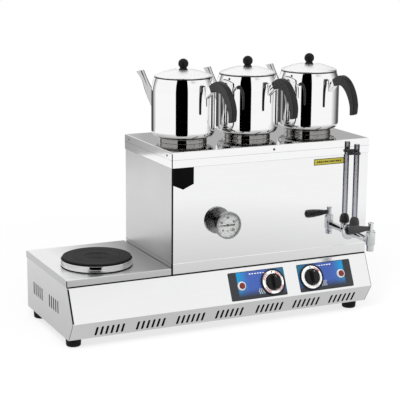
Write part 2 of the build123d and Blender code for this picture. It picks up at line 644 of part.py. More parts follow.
with BuildPart() as boiler_right_panel:
    with BuildSketch(RIGHT_FACE):
        with Locations((SIDE_PANEL_FRONT, FLOOR_TOP)):
            Rectangle(SIDE_PANEL_DEPTH, PANEL_HEIGHT, align=(Align.MIN, Align.MIN))
        with Locations(*[(screw_y, SCREW_HEIGHT) for screw_y in SIDE_SCREWS]):
            Circle(SCREW_HOLE, mode=Mode.SUBTRACT)
    extrude(amount=-SHEET)
    with BuildSketch(RIGHT_FACE):
        with Locations((SIDE_PANEL_FRONT, FLOOR_TOP)):
            Rectangle(SIDE_PANEL_DEPTH, BAND_HEIGHT, align=(Align.MIN, Align.MIN))
    extrude(amount=BAND_OUT)
boiler_right_panel.part.label = "boiler_right_panel"
export_step(boiler_right_panel.part, "parts/boiler_right_panel.step")

# Top cover with its deep turned-down edge and a seat hole under each teapot
COVER_SCREWS = [
    Plane(origin=(POT_MIDDLE, FRONT, SCREW_HEIGHT), x_dir=(1, 0, 0), z_dir=(0, -1, 0)),
    Plane(origin=(POT_MIDDLE, BOX_BACK, SCREW_HEIGHT), x_dir=(1, 0, 0), z_dir=(0, 1, 0)),
]
for screw_y in SIDE_SCREWS:
    COVER_SCREWS.append(Plane(origin=(BOX_LEFT, screw_y, SCREW_HEIGHT), x_dir=(0, 1, 0), z_dir=(-1, 0, 0)))
    COVER_SCREWS.append(Plane(origin=(RIGHT, screw_y, SCREW_HEIGHT), x_dir=(0, 1, 0), z_dir=(1, 0, 0)))
with BuildPart() as boiler_top:
    with BuildSketch(Plane.XY.offset(BOILER_TOP - COVER_FLANGE)):
        with Locations((BOX_LEFT, FRONT)):
            Rectangle(BOILER_WIDTH, BOILER_DEPTH, align=(Align.MIN, Align.MIN))
    extrude(amount=COVER_FLANGE)
    fillet(boiler_top.faces().sort_by(Axis.Z)[-1].edges(), radius=BEND)
    offset(amount=-SHEET, openings=boiler_top.faces().sort_by(Axis.Z)[0])
    with BuildSketch(Plane.XY.offset(BOILER_TOP)):
        with Locations(*POT_CENTRES):
            Circle(SEAT_HOLE_RADIUS)
    extrude(amount=-2 * SHEET, mode=Mode.SUBTRACT)
    for screw_plane in COVER_SCREWS:
        with BuildSketch(screw_plane):
            Circle(SCREW_HOLE)
        extrude(amount=-2 * SHEET, mode=Mode.SUBTRACT)
boiler_top.part.label = "boiler_top"
export_step(boiler_top.part, "parts/boiler_top.step")

with BuildPart() as cover_screws:
    for screw_plane in COVER_SCREWS:
        with BuildSketch(screw_plane):
            Circle(SCREW_HEAD_RADIUS)
        extrude(amount=SCREW_HEAD_HEIGHT, taper=SCREW_HEAD_TAPER)
        with BuildSketch(screw_plane):
            Circle(SCREW_RADIUS)
        extrude(amount=-SCREW_LENGTH)
cover_screws.part.label = "cover_screws"
export_step(cover_screws.part, "parts/cover_screws.step")

# Water tank, hung by its rim under the cover
TANK_WIDTH = TANK_RIGHT - TANK_LEFT
TANK_DEPTH = TANK_BACK - TANK_FRONT
TANK_MIDDLE = ((TANK_LEFT + TANK_RIGHT) / 2, (TANK_FRONT + TANK_BACK) / 2)
ELEMENT_HEIGHT = TANK_FLOOR + SHEET + ELEMENT_LIFT
ELEMENT_LEGS = [
    (TANK_MIDDLE[1] - ELEMENT_SPREAD / 2, ELEMENT_HEIGHT),
    (TANK_MIDDLE[1] + ELEMENT_SPREAD / 2, ELEMENT_HEIGHT),
]
TANK_FRONT_FACE = Plane(origin=(0, TANK_FRONT, 0), x_dir=(1, 0, 0), z_dir=(0, -1, 0))
with BuildPart() as water_tank:
    with BuildSketch(Plane.XY.offset(TANK_FLOOR)):
        with Locations(TANK_MIDDLE):
            RectangleRounded(TANK_WIDTH, TANK_DEPTH, TANK_CORNER)
    extrude(amount=COVER_UNDER - TANK_FLOOR)
    fillet(water_tank.faces().sort_by(Axis.Z)[0].edges(), radius=TANK_CORNER / 2)
    offset(amount=-SHEET, openings=water_tank.faces().sort_by(Axis.Z)[-1])
    with BuildSketch(Plane.XY.offset(COVER_UNDER)):
        with Locations(TANK_MIDDLE):
            Rectangle(TANK_WIDTH + 2 * TANK_RIM, TANK_DEPTH + 2 * TANK_RIM)
            RectangleRounded(
                TANK_WIDTH - 2 * SHEET,
                TANK_DEPTH - 2 * SHEET,
                TANK_CORNER - SHEET,
                mode=Mode.SUBTRACT,
            )
    extrude(amount=-SHEET)
    with BuildSketch(TANK_FRONT_FACE):
        with Locations((TAP_X, TAP_Z)):
            Circle(TAP_SHANK_RADIUS + TAP_HOLE_PLAY)
        with Locations((THERMO_X, THERMO_HEIGHT)):
            Circle(THERMO_STEM_RADIUS + THERMO_HOLE_PLAY)
    extrude(amount=-2 * SHEET, mode=Mode.SUBTRACT)
    with BuildSketch(Plane.YZ.offset(TANK_LEFT)):
        with Locations(*ELEMENT_LEGS):
            Circle(ELEMENT_RADIUS + ELEMENT_PLAY)
    extrude(amount=2 * SHEET, mode=Mode.SUBTRACT)
water_tank.part.label = "water_tank"
export_step(water_tank.part, "parts/water_tank.step")

# Hairpin heating element through the tank's left wall, with a brass nut on each leg
ELEMENT_START = TANK_LEFT - ELEMENT_TAIL
ELEMENT_END = TANK_LEFT + ELEMENT_SPAN
ELEMENT_TURN = ELEMENT_SPREAD / 2
with BuildPart() as heating_element:
    with BuildLine(Plane.XY.offset(ELEMENT_HEIGHT)) as element_path:
        near = Line((ELEMENT_START, ELEMENT_LEGS[0][0]), (ELEMENT_END - ELEMENT_TURN, ELEMENT_LEGS[0][0]))
        turn = TangentArc(near @ 1, (ELEMENT_END - ELEMENT_TURN, ELEMENT_LEGS[1][0]), tangent=near % 1)
        Line(turn @ 1, (ELEMENT_START, ELEMENT_LEGS[1][0]))
    with BuildSketch(Plane(origin=element_path.line @ 0, z_dir=element_path.line % 0)):
        Circle(ELEMENT_RADIUS)
    sweep()
heating_element.part.label = "heating_element"
export_step(heating_element.part, "parts/heating_element.step")

with BuildPart() as element_nuts:
    with BuildSketch(Plane.YZ.offset(TANK_LEFT)):
        with Locations(*ELEMENT_LEGS):
            RegularPolygon(ELEMENT_NUT_RADIUS, 6)
            Circle(ELEMENT_RADIUS + ELEMENT_PLAY, mode=Mode.SUBTRACT)
    extrude(amount=-ELEMENT_NUT_HEIGHT)
element_nuts.part.label = "element_nuts"
export_step(element_nuts.part, "parts/element_nuts.step")

# Tap: one casting with the shank through the boiler wall, the gauge boss, the barrel and the outlet
TAP_SHANK = Plane(origin=(TAP_X, TAP_Y, TAP_Z), x_dir=(1, 0, 0), z_dir=(0, 1, 0))
TAP_END = TANK_FRONT + SHEET + TAP_TANK_END
TAP_AXIS = Axis((TAP_X, TAP_Y, 0), (0, 0, 1))
TAP_UPRIGHT = Plane(origin=(TAP_X, TAP_Y, 0), x_dir=(1, 0, 0), z_dir=(0, -1, 0))
TAP_EDGE = 1.5
with BuildPart() as tap_body:
    with BuildSketch(TAP_SHANK):
        Circle(TAP_SHANK_RADIUS)
    extrude(amount=TAP_END - TAP_Y)
    with BuildSketch(Plane.XY.offset(TAP_Z)):
        with Locations((TAP_X, GAUGE_Y)):
            Circle(GAUGE_BOSS_RADIUS)
    extrude(amount=GAUGE_BOSS_TOP - TAP_Z)
    with BuildSketch(TAP_UPRIGHT):
        with BuildLine():
            Polyline(
                (0, TAP_TIP_HEIGHT),
                (TAP_TIP_RADIUS, TAP_TIP_HEIGHT),
                (TAP_BARREL_RADIUS, TAP_TAPER_TOP),
                (TAP_BARREL_RADIUS, TAP_BARREL_TOP - TAP_EDGE),
                (TAP_BARREL_RADIUS - TAP_EDGE, TAP_BARREL_TOP),
                (0, TAP_BARREL_TOP),
                close=True,
            )
        make_face()
    revolve(axis=TAP_AXIS)
    with BuildSketch(Plane.XY.offset(TAP_PLUG_BOTTOM - LAP_GAP)):
        with Locations((TAP_X, TAP_Y)):
            Circle(TAP_PLUG_RADIUS + TAP_PLUG_PLAY)
    extrude(amount=TAP_BARREL_TOP - TAP_PLUG_BOTTOM + LAP_GAP, mode=Mode.SUBTRACT)
    with BuildSketch(Plane.XY.offset(TAP_TIP_HEIGHT)):
        with Locations((TAP_X, TAP_Y)):
            Circle(TAP_OUTLET_BORE)
    extrude(amount=TAP_PLUG_BOTTOM - TAP_TIP_HEIGHT, mode=Mode.SUBTRACT)
    with BuildSketch(TAP_SHANK):
        Circle(TAP_BORE)
    extrude(amount=TAP_END - TAP_Y, mode=Mode.SUBTRACT)
    with BuildSketch(Plane.XY.offset(TAP_Z)):
        with Locations((TAP_X, GAUGE_Y)):
            Circle(GAUGE_BORE)
    extrude(amount=GAUGE_BOSS_TOP - TAP_Z, mode=Mode.SUBTRACT)
tap_body.part.label = "tap_body"
export_step(tap_body.part, "parts/tap_body.step")

# Wall flange outside and lock nut inside the tank
TAP_HOLE = TAP_SHANK_RADIUS + TAP_HOLE_PLAY
with BuildPart() as tap_flange:
    with BuildSketch(FRONT_FACE):
        with Locations((TAP_X, TAP_Z)):
            Circle(TAP_FLANGE_RADIUS)
    extrude(amount=TAP_FLANGE_THICKNESS)
    chamfer(
        tap_flange.faces().sort_by(Axis.Y)[0].edges(),
        length=TAP_FLANGE_THICKNESS / 2,
        length2=TAP_FLANGE_RADIUS - TAP_SHANK_RADIUS - TAP_FLANGE_THICKNESS,
    )
    with BuildSketch(FRONT_FACE):
        with Locations((TAP_X, TAP_Z)):
            Circle(TAP_HOLE)
    extrude(amount=TAP_FLANGE_THICKNESS, mode=Mode.SUBTRACT)
tap_flange.part.label = "tap_flange"
export_step(tap_flange.part, "parts/tap_flange.step")

with BuildPart() as tap_lock_nut:
    with BuildSketch(TANK_FRONT_FACE.offset(-SHEET)):
        with Locations((TAP_X, TAP_Z)):
            RegularPolygon(TAP_NUT_RADIUS, 6)
            Circle(TAP_HOLE, mode=Mode.SUBTRACT)
    extrude(amount=-TAP_NUT_THICKNESS)
tap_lock_nut.part.label = "tap_lock_nut"
export_step(tap_lock_nut.part, "parts/tap_lock_nut.step")

# Turning plug with its cross port, stem and lever stud; the port looks along +X while the tap is shut
PLUG_PORT = 5.0
PLUG_COLLAR_RADIUS = 10.5
PLUG_COLLAR_HEIGHT = 3.0
PLUG_COLLAR_FOOT = TAP_BARREL_TOP + LAP_GAP
LEVER = Plane(origin=(TAP_X, TAP_Y, LEVER_HEIGHT), x_dir=(-1, 0, 0), z_dir=(0, 1, 0))
LEVER_STUD = Plane(origin=(TAP_X, TAP_Y, LEVER_HEIGHT), x_dir=(0, 1, 0), z_dir=(-1, 0, 0))
PLUG_SIDE = Plane(origin=(TAP_X, TAP_Y, TAP_Z), x_dir=(0, 1, 0), z_dir=(1, 0, 0))
with BuildPart() as tap_plug:
    with BuildSketch(TAP_UPRIGHT):
        with BuildLine():
            Polyline(
                (0, TAP_PLUG_BOTTOM),
                (TAP_PLUG_RADIUS, TAP_PLUG_BOTTOM),
                (TAP_PLUG_RADIUS, PLUG_COLLAR_FOOT),
                (PLUG_COLLAR_RADIUS, PLUG_COLLAR_FOOT),
                (PLUG_COLLAR_RADIUS, PLUG_COLLAR_FOOT + PLUG_COLLAR_HEIGHT),
                (TAP_STEM_RADIUS, PLUG_COLLAR_FOOT + PLUG_COLLAR_HEIGHT),
                (TAP_STEM_RADIUS, TAP_STEM_TOP),
                (0, TAP_STEM_TOP),
                close=True,
            )
        make_face()
    revolve(axis=TAP_AXIS)
    with BuildSketch(LEVER_STUD):
        Circle(LEVER_STUD_RADIUS)
    extrude(amount=LEVER_STUD_END)
    with BuildSketch(Plane.XY.offset(TAP_PLUG_BOTTOM)):
        with Locations((TAP_X, TAP_Y)):
            Circle(PLUG_PORT)
    extrude(amount=TAP_Z - TAP_PLUG_BOTTOM, mode=Mode.SUBTRACT)
    with BuildSketch(PLUG_SIDE):
        Circle(PLUG_PORT)
    extrude(amount=TAP_PLUG_RADIUS, mode=Mode.SUBTRACT)
tap_plug.part.label = "tap_plug"
export_step(tap_plug.part, "parts/tap_plug.step")

with BuildPart() as tap_cap:
    with BuildSketch(Plane.XY.offset(TAP_STEM_TOP)):
        with Locations((TAP_X, TAP_Y)):
            Circle(TAP_CAP_RADIUS)
    extrude(amount=TAP_CAP_HEIGHT)
    fillet(tap_cap.faces().sort_by(Axis.Z)[-1].edges(), radius=TAP_CAP_HEIGHT / 3)
tap_cap.part.label = "tap_cap"
export_step(tap_cap.part, "parts/tap_cap.step")

# Lever grip, turned like a tool handle, on the plug's stud
with BuildPart() as tap_grip:
    with BuildSketch(LEVER):
        with BuildLine():
            Line((LEVER_START, 0), (LEVER_START, LEVER_RADII[0]))
            Spline(
                (LEVER_START, LEVER_RADII[0]),
                (LEVER_SWELL, LEVER_RADII[1]),
                (LEVER_END, LEVER_RADII[2]),
                tangents=((1, 0), (LEVER_END - LEVER_SWELL, 2 * (LEVER_RADII[2] - LEVER_RADII[1]))),
            )
            Polyline((LEVER_END, LEVER_RADII[2]), (LEVER_END, 0), (LEVER_START, 0))
        make_face()
    revolve(axis=Axis(LEVER.origin, LEVER.x_dir))
    fillet(tap_grip.faces().sort_by(Axis.X)[0].edges(), radius=LEVER_RADII[2] / 5)
    with BuildSketch(LEVER_STUD):
        Circle(LEVER_STUD_RADIUS + LEVER_STUD_PLAY)
    extrude(amount=LEVER_STUD_END + LEVER_STUD_PLAY, mode=Mode.SUBTRACT)
tap_grip.part.label = "tap_grip"
export_step(tap_grip.part, "parts/tap_grip.step")

# Level gauge: glass tube standing on the tap's boss, domed gland round its foot, clip near its top
GLASS_HOLE = GLASS_RADIUS + GLAND_PLAY
with BuildPart() as gauge_glass:
    with BuildSketch(Plane.XY.offset(GAUGE_BOSS_TOP)):
        with Locations((TAP_X, GAUGE_Y)):
            Circle(GLASS_RADIUS)
            Circle(GLASS_RADIUS - GLASS_WALL, mode=Mode.SUBTRACT)
    extrude(amount=GLASS_TOP - GAUGE_BOSS_TOP)
gauge_glass.part.label = "gauge_glass"
export_step(gauge_glass.part, "parts/gauge_glass.step")

with BuildPart() as gauge_gland:
    with BuildSketch(Plane.XY.offset(GAUGE_BOSS_TOP)):
        with Locations((TAP_X, GAUGE_Y)):
            Circle(GLAND_RADIUS)
    extrude(amount=GLAND_HEIGHT)
    fillet(gauge_gland.faces().sort_by(Axis.Z)[-1].edges(), radius=GLAND_RADIUS - GLASS_RADIUS)
    with BuildSketch(Plane.XY.offset(GAUGE_BOSS_TOP)):
        with Locations((TAP_X, GAUGE_Y)):
            Circle(GLASS_HOLE)
    extrude(amount=GLAND_HEIGHT, mode=Mode.SUBTRACT)
gauge_gland.part.label = "gauge_gland"
export_step(gauge_gland.part, "parts/gauge_gland.step")

CLIP_FACE = Plane(origin=(TAP_X, FRONT, CLIP_HEIGHT), x_dir=(1, 0, 0), z_dir=(0, -1, 0))
with BuildPart() as gauge_clip:
    with BuildSketch(CLIP_FACE):
        with Locations((0, (CLIP_SEAT - CLIP_HEIGHT) / 2)):
            RectangleRounded(
                CLIP_FOOT_WIDTH,
                CLIP_FOOT_HEIGHT + abs(CLIP_SEAT - CLIP_HEIGHT),
                CLIP_FOOT_HEIGHT / 4,
            )
    extrude(amount=CLIP_FOOT_THICKNESS)
    with BuildSketch(CLIP_FACE):
        Rectangle(CLIP_ARM_WIDTH, CLIP_THICKNESS)
    extrude(amount=GAUGE_OUT)
    with BuildSketch(Plane.XY.offset(CLIP_HEIGHT - CLIP_THICKNESS / 2)):
        with Locations((TAP_X, GAUGE_Y)):
            Circle(CLIP_RADIUS)
    extrude(amount=CLIP_THICKNESS)
    with BuildSketch(Plane.XY.offset(CLIP_HEIGHT - CLIP_THICKNESS)):
        with Locations((TAP_X, GAUGE_Y)):
            Circle(GLASS_HOLE)
    extrude(amount=2 * CLIP_THICKNESS, mode=Mode.SUBTRACT)
gauge_clip.part.label = "gauge_clip"
export_step(gauge_clip.part, "parts/gauge_clip.step")

# Thermometer: x to the right, z into the boiler, from the front of the bezel
THERMO = Plane(
    origin=(THERMO_X, FRONT - THERMO_FACE_OUT, THERMO_HEIGHT),
    x_dir=(1, 0, 0),
    z_dir=(0, 1, 0),
)
THERMO_BORE = THERMO_RADIUS - THERMO_RING
THERMO_SEAT = THERMO_DEPTH - THERMO_BACK
THERMO_END = THERMO_FACE_OUT + TANK_GAP_Y + SHEET + THERMO_STEM_DEPTH
DIAL_TOP = THERMO_SEAT - DIAL_THICKNESS
POINTER_BACK = DIAL_TOP - POINTER_LIFT
PIN_END = THERMO_SEAT + 2 * THERMO_BACK / 3
THERMO_EDGE = 1.2
with BuildPart() as thermometer_case:
    with BuildSketch(THERMO):
        Circle(THERMO_RADIUS)
    extrude(amount=THERMO_DEPTH)
    fillet(thermometer_case.faces().sort_by(Axis.Y)[0].edges(), radius=THERMO_EDGE)
    with BuildSketch(THERMO):
        Circle(THERMO_BORE)
    extrude(amount=THERMO_SEAT, mode=Mode.SUBTRACT)
    with BuildSketch(THERMO.offset(THERMO_DEPTH)):
        RegularPolygon(THERMO_NECK_RADIUS, 6)
    extrude(amount=THERMO_NECK_LENGTH)
    with BuildSketch(THERMO.offset(THERMO_DEPTH)):
        Circle(THERMO_STEM_RADIUS)
    extrude(amount=THERMO_END - THERMO_DEPTH)
    with BuildSketch(THERMO.offset(THERMO_SEAT)):
        Circle(PIN_RADIUS + PIN_PLAY)
    extrude(amount=PIN_END - THERMO_SEAT + PIN_PLAY, mode=Mode.SUBTRACT)
thermometer_case.part.label = "thermometer_case"
export_step(thermometer_case.part, "parts/thermometer_case.step")

with BuildPart() as thermometer_dial:
    with BuildSketch(THERMO.offset(DIAL_TOP)):
        Circle(THERMO_BORE - DIAL_PLAY)
        Circle(PIN_RADIUS + DIAL_PLAY, mode=Mode.SUBTRACT)
    extrude(amount=DIAL_THICKNESS)
thermometer_dial.part.label = "thermometer_dial"
export_step(thermometer_dial.part, "parts/thermometer_dial.step")

# Pointer lying along -X, the cold end of the scale, with its pin through the dial
with BuildPart() as thermometer_pointer:
    with BuildSketch(THERMO.offset(POINTER_BACK - POINTER_THICKNESS)):
        with BuildLine():
            Polyline(
                (-POINTER_LENGTH, 0),
                (0, POINTER_WIDTH / 2),
                (POINTER_TAIL, POINTER_WIDTH / 2),
                (POINTER_TAIL, -POINTER_WIDTH / 2),
                (0, -POINTER_WIDTH / 2),
                close=True,
            )
        make_face()
        Circle(POINTER_HUB_RADIUS)
    extrude(amount=POINTER_THICKNESS)
    with BuildSketch(THERMO.offset(POINTER_BACK)):
        Circle(PIN_RADIUS)
    extrude(amount=PIN_END - POINTER_BACK)
thermometer_pointer.part.label = "thermometer_pointer"
export_step(thermometer_pointer.part, "parts/thermometer_pointer.step")

with BuildPart() as thermometer_glass:
    with BuildSketch(THERMO.offset(GLASS_SETBACK)):
        Circle(THERMO_BORE - DIAL_PLAY)
    extrude(amount=GLASS_THICKNESS)
thermometer_glass.part.label = "thermometer_glass"
export_step(thermometer_glass.part, "parts/thermometer_glass.step")

# Controls: fascia plates, dial rings, switches behind the panel, shafts, knobs and pilot lamps
SIDES = ("left", "right")
FASCIA_PLACES = [(CONTROL_X - PLATE_OFFSET, -CONTROL_DROP), (CONTROL_X + PLATE_OFFSET, -CONTROL_DROP)]
SWITCH_NAMES = ("heat_regulator", "thermostat")
BUSH_HOLE = BUSH_RADIUS + BUSH_PLAY
SHAFT_FOOT = DIAL_FACE.offset(-SHAFT_IN_SWITCH)
SHAFT_LENGTH = SHAFT_IN_SWITCH + KNOB_GAP + SHAFT_IN_KNOB
KNOB_ROUND = 1.5
for side, fascia_place, knob_place, lamp_place, switch_name in zip(
    SIDES, FASCIA_PLACES, KNOB_PLACES, LAMP_PLACES, SWITCH_NAMES
):
    with BuildPart() as fascia:
        with BuildSketch(SLOPE):
            with Locations(fascia_place):
                RectangleRounded(FASCIA_LENGTH, FASCIA_HEIGHT, FASCIA_CORNER)
            with Locations(knob_place):
                Circle(BUSH_HOLE, mode=Mode.SUBTRACT)
            with Locations(lamp_place):
                Circle(LAMP_BODY_RADIUS + LAMP_HOLE_PLAY, mode=Mode.SUBTRACT)
        extrude(amount=FASCIA_THICKNESS)
    fascia.part.label = f"fascia_{side}"
    export_step(fascia.part, f"parts/fascia_{side}.step")

    with BuildPart() as switch:
        with BuildSketch(SLOPE_BEHIND):
            with Locations(knob_place):
                RectangleRounded(SWITCH_SIZE, SWITCH_SIZE, FASCIA_CORNER)
        extrude(amount=-SWITCH_DEPTH)
        with BuildSketch(SLOPE_BEHIND):
            with Locations(knob_place):
                Circle(BUSH_RADIUS)
        extrude(amount=SHEET + FASCIA_THICKNESS + DIAL_RING_HEIGHT - DIAL_RECESS)
        with BuildSketch(DIAL_FACE):
            with Locations(knob_place):
                Circle(SHAFT_RADIUS + SHAFT_PLAY)
        extrude(amount=-SHAFT_IN_SWITCH - SHAFT_PLAY, mode=Mode.SUBTRACT)
    switch.part.label = switch_name
    export_step(switch.part, f"parts/{switch_name}.step")

    with BuildPart() as shaft:
        with BuildSketch(SHAFT_FOOT):
            with Locations(knob_place):
                Circle(SHAFT_RADIUS)
        extrude(amount=SHAFT_LENGTH)
    shaft.part.label = f"shaft_{side}"
    export_step(shaft.part, f"parts/shaft_{side}.step")

    with BuildPart() as knob:
        with BuildSketch(KNOB_BASE):
            with Locations(knob_place):
                Circle(KNOB_RADIUS)
        extrude(amount=KNOB_SKIRT)
        with BuildSketch(KNOB_BASE):
            with Locations(knob_place):
                Circle(KNOB_RADIUS)
                Rectangle(KNOB_BAR_WIDTH, 2 * KNOB_RADIUS, mode=Mode.INTERSECT)
        extrude(amount=KNOB_HEIGHT)
        fillet(knob.faces().sort_by(OUT_OF_SLOPE)[-1].edges(), radius=KNOB_ROUND)
        with BuildSketch(KNOB_BASE):
            with Locations(knob_place):
                Circle(SHAFT_RADIUS + SHAFT_PLAY)
        extrude(amount=SHAFT_IN_KNOB + SHAFT_PLAY, mode=Mode.SUBTRACT)
    knob.part.label = f"knob_{side}"
    export_step(knob.part, f"parts/knob_{side}.step")

with BuildPart() as dial_rings:
    with BuildSketch(FASCIA_FACE):
        with Locations(*KNOB_PLACES):
            Circle(DIAL_RING_RADIUS)
            Circle(BUSH_HOLE, mode=Mode.SUBTRACT)
    extrude(amount=DIAL_RING_HEIGHT)
    with BuildSketch(DIAL_FACE):
        with Locations(*KNOB_PLACES):
            Circle(DIAL_RECESS_RADIUS)
    extrude(amount=DIAL_RECESS, mode=Mode.SUBTRACT)
dial_rings.part.label = "dial_rings"
export_step(dial_rings.part, "parts/dial_rings.step")

LENS_SEAT = FASCIA_FACE.offset(LAMP_BEZEL_HEIGHT / 4)
LENS_DEPTH = LAMP_BEZEL_HEIGHT - LAMP_BEZEL_HEIGHT / 4
with BuildPart() as lamp_bezels:
    with BuildSketch(FASCIA_FACE):
        with Locations(*LAMP_PLACES):
            Circle(LAMP_BEZEL_RADIUS)
    extrude(amount=LAMP_BEZEL_HEIGHT, taper=LAMP_BEZEL_TAPER)
    with BuildSketch(FASCIA_FACE):
        with Locations(*LAMP_PLACES):
            Circle(LAMP_BODY_RADIUS)
    extrude(amount=-LAMP_BODY_LENGTH)
    with BuildSketch(LENS_SEAT):
        with Locations(*LAMP_PLACES):
            Circle(LAMP_LENS_RADIUS + LAMP_LENS_PLAY)
    extrude(amount=LENS_DEPTH, mode=Mode.SUBTRACT)
lamp_bezels.part.label = "lamp_bezels"
export_step(lamp_bezels.part, "parts/lamp_bezels.step")

with BuildPart() as lamp_lenses:
    with BuildSketch(LENS_SEAT):
        with Locations(*LAMP_PLACES):
            Circle(LAMP_LENS_RADIUS)
    extrude(amount=LENS_DEPTH + LAMP_LENS_DOME)
    fillet(
        lamp_lenses.edges().filter_by(GeomType.CIRCLE).group_by(OUT_OF_SLOPE)[-1],
        radius=LAMP_LENS_DOME,
    )
lamp_lenses.part.label = "lamp_lenses"
export_step(lamp_lenses.part, "parts/lamp_lenses.step")

# Gland for the supply cord, clamped in the back panel
CORD_OUTSIDE = Plane(
    origin=(GLAND_X, BACK - SIDE_INSET, CORD_GLAND_HEIGHT),
    x_dir=(1, 0, 0),
    z_dir=(0, 1, 0),
)
CORD_INSIDE = CORD_OUTSIDE.offset(-SHEET)
with BuildPart() as cord_gland:
    with BuildSketch(CORD_INSIDE.offset(-CORD_GLAND_IN)):
        Circle(CORD_GLAND_RADIUS)
    extrude(amount=CORD_GLAND_IN + SHEET + CORD_GLAND_OUT)
    with BuildSketch(CORD_OUTSIDE):
        RegularPolygon(CORD_GLAND_NUT_RADIUS, 6)
    extrude(amount=CORD_GLAND_OUT / 2)
    with BuildSketch(CORD_INSIDE):
        RegularPolygon(CORD_GLAND_NUT_RADIUS, 6)
    extrude(amount=-CORD_GLAND_IN / 2)
    fillet(cord_gland.faces().sort_by(Axis.Y)[-1].edges(), radius=CORD_GLAND_RADIUS / 4)
    with BuildSketch(CORD_INSIDE.offset(-CORD_GLAND_IN)):
        Circle(CORD_BORE_RADIUS)
    extrude(amount=CORD_GLAND_IN + SHEET + CORD_GLAND_OUT, mode=Mode.SUBTRACT)
cord_gland.part.label = "cord_gland"
export_step(cord_gland.part, "parts/cord_gland.step")

# Teapots, each drawn about the Z axis with its seat at z = 0, its handle along +X and its spout along -X
POT_BOSS_RADIUS = SEAT_HOLE_RADIUS - POT_BOSS_PLAY
POT_CORNER = POT_BELLY_START - POT_RING_HEIGHT


def pot_section(inset):
    """Half section of the pot, or of the space inside it when inset is the wall."""
    floor = inset - POT_BOSS_DEPTH
    shelf = POT_RING_HEIGHT + inset
    side = POT_RADIUS - inset
    with BuildSketch(Plane.XZ) as section:
        with BuildLine():
            Polyline(
                (0, floor),
                (POT_BOSS_RADIUS - inset, floor),
                (POT_BOSS_RADIUS - inset, inset),
                (POT_RING_RADIUS - inset, inset),
                (POT_RING_RADIUS - inset, shelf),
                (POT_RADIUS - POT_CORNER, shelf),
            )
            TangentArc((POT_RADIUS - POT_CORNER, shelf), (side, POT_BELLY_START), tangent=(1, 0))
            Line((side, POT_BELLY_START), (side, POT_SHOULDER))
            TangentArc((side, POT_SHOULDER), (POT_RIM_RADIUS - inset, POT_RIM_HEIGHT), tangent=(0, 1))
            Polyline((POT_RIM_RADIUS - inset, POT_RIM_HEIGHT), (0, POT_RIM_HEIGHT), (0, floor))
        make_face()
    return section.sketch


def spout_section(reach, height, tilt, half_height, half_width):
    """Oval across the spout, square to its course."""
    course = (-cos(radians(tilt)), 0, sin(radians(tilt)))
    with BuildSketch(Plane(origin=(-reach, 0, height), x_dir=(0, 1, 0), z_dir=course)) as section:
        Ellipse(half_width, half_height)
    return section.sketch.face()


def spout_sections(inset):
    """The five ovals from the pot's wall to the tip."""
    height, half_height, half_width = SPOUT_ROOT
    start = POT_RADIUS - SPOUT_ROOT_SINK
    sections = [spout_section(start, height, 0, half_height - inset, half_width - inset)]
    for station, tilt in zip(SPOUT_STATIONS, SPOUT_TILTS):
        reach, height, half_height, half_width = station
        sections.append(spout_section(reach, height, tilt, half_height - inset, half_width - inset))
    return sections


with BuildPart() as pot_body:
    revolve(pot_section(0), axis=Axis.Z)
    loft(spout_sections(0))
    revolve(pot_section(POT_WALL), axis=Axis.Z, mode=Mode.SUBTRACT)
    loft(spout_sections(SPOUT_WALL), mode=Mode.SUBTRACT)

# Steel bracket: a folded channel welded to the wall, with a tongue that runs into the grip
ROOT_RUN = hypot(GRIP_ROOT_TOP[0] - GRIP_ROOT_BOTTOM[0], GRIP_ROOT_TOP[1] - GRIP_ROOT_BOTTOM[1])
ROOT_OUT = (
    (GRIP_ROOT_TOP[1] - GRIP_ROOT_BOTTOM[1]) / ROOT_RUN,
    0,
    (GRIP_ROOT_BOTTOM[0] - GRIP_ROOT_TOP[0]) / ROOT_RUN,
)
ROOT_MIDDLE = (
    (GRIP_ROOT_TOP[0] + GRIP_ROOT_BOTTOM[0]) / 2,
    0,
    (GRIP_ROOT_TOP[1] + GRIP_ROOT_BOTTOM[1]) / 2,
)
GRIP_ROOT = Plane(origin=ROOT_MIDDLE, x_dir=(0, 1, 0), z_dir=ROOT_OUT)
BRACKET_END_TOP = (
    GRIP_ROOT_TOP[0] + BRACKET_SHEET * ROOT_OUT[2],
    GRIP_ROOT_TOP[1] - BRACKET_SHEET * ROOT_OUT[0],
)
BRACKET_END_BOTTOM = (
    GRIP_ROOT_BOTTOM[0] - BRACKET_SHEET * ROOT_OUT[2],
    GRIP_ROOT_BOTTOM[1] + BRACKET_SHEET * ROOT_OUT[0],
)
with BuildPart() as pot_bracket:
    with BuildSketch(Plane.XZ):
        with BuildLine():
            Polyline(
                (POT_RIM_RADIUS, BRACKET_TOP),
                BRACKET_END_TOP,
                BRACKET_END_BOTTOM,
                (POT_RIM_RADIUS, BRACKET_BOTTOM),
                close=True,
            )
        make_face()
    extrude(amount=BRACKET_WIDTH / 2, both=True)
    with BuildSketch(Plane.XZ):
        with BuildLine():
            Polyline(
                (POT_RIM_RADIUS, BRACKET_TOP - BRACKET_SHEET),
                (BRACKET_END_TOP[0] - BRACKET_SHEET, BRACKET_END_TOP[1] - 2 * BRACKET_SHEET),
                (BRACKET_END_BOTTOM[0] - BRACKET_SHEET, BRACKET_BOTTOM),
                (POT_RIM_RADIUS, BRACKET_BOTTOM),
                close=True,
            )
        make_face()
    extrude(amount=BRACKET_WIDTH / 2 - BRACKET_SHEET, both=True, mode=Mode.SUBTRACT)
    with BuildSketch(GRIP_ROOT):
        Rectangle(TONGUE_WIDTH, BRACKET_SHEET)
    extrude(amount=TONGUE_LENGTH)
    revolve(pot_section(0), axis=Axis.Z, mode=Mode.SUBTRACT)

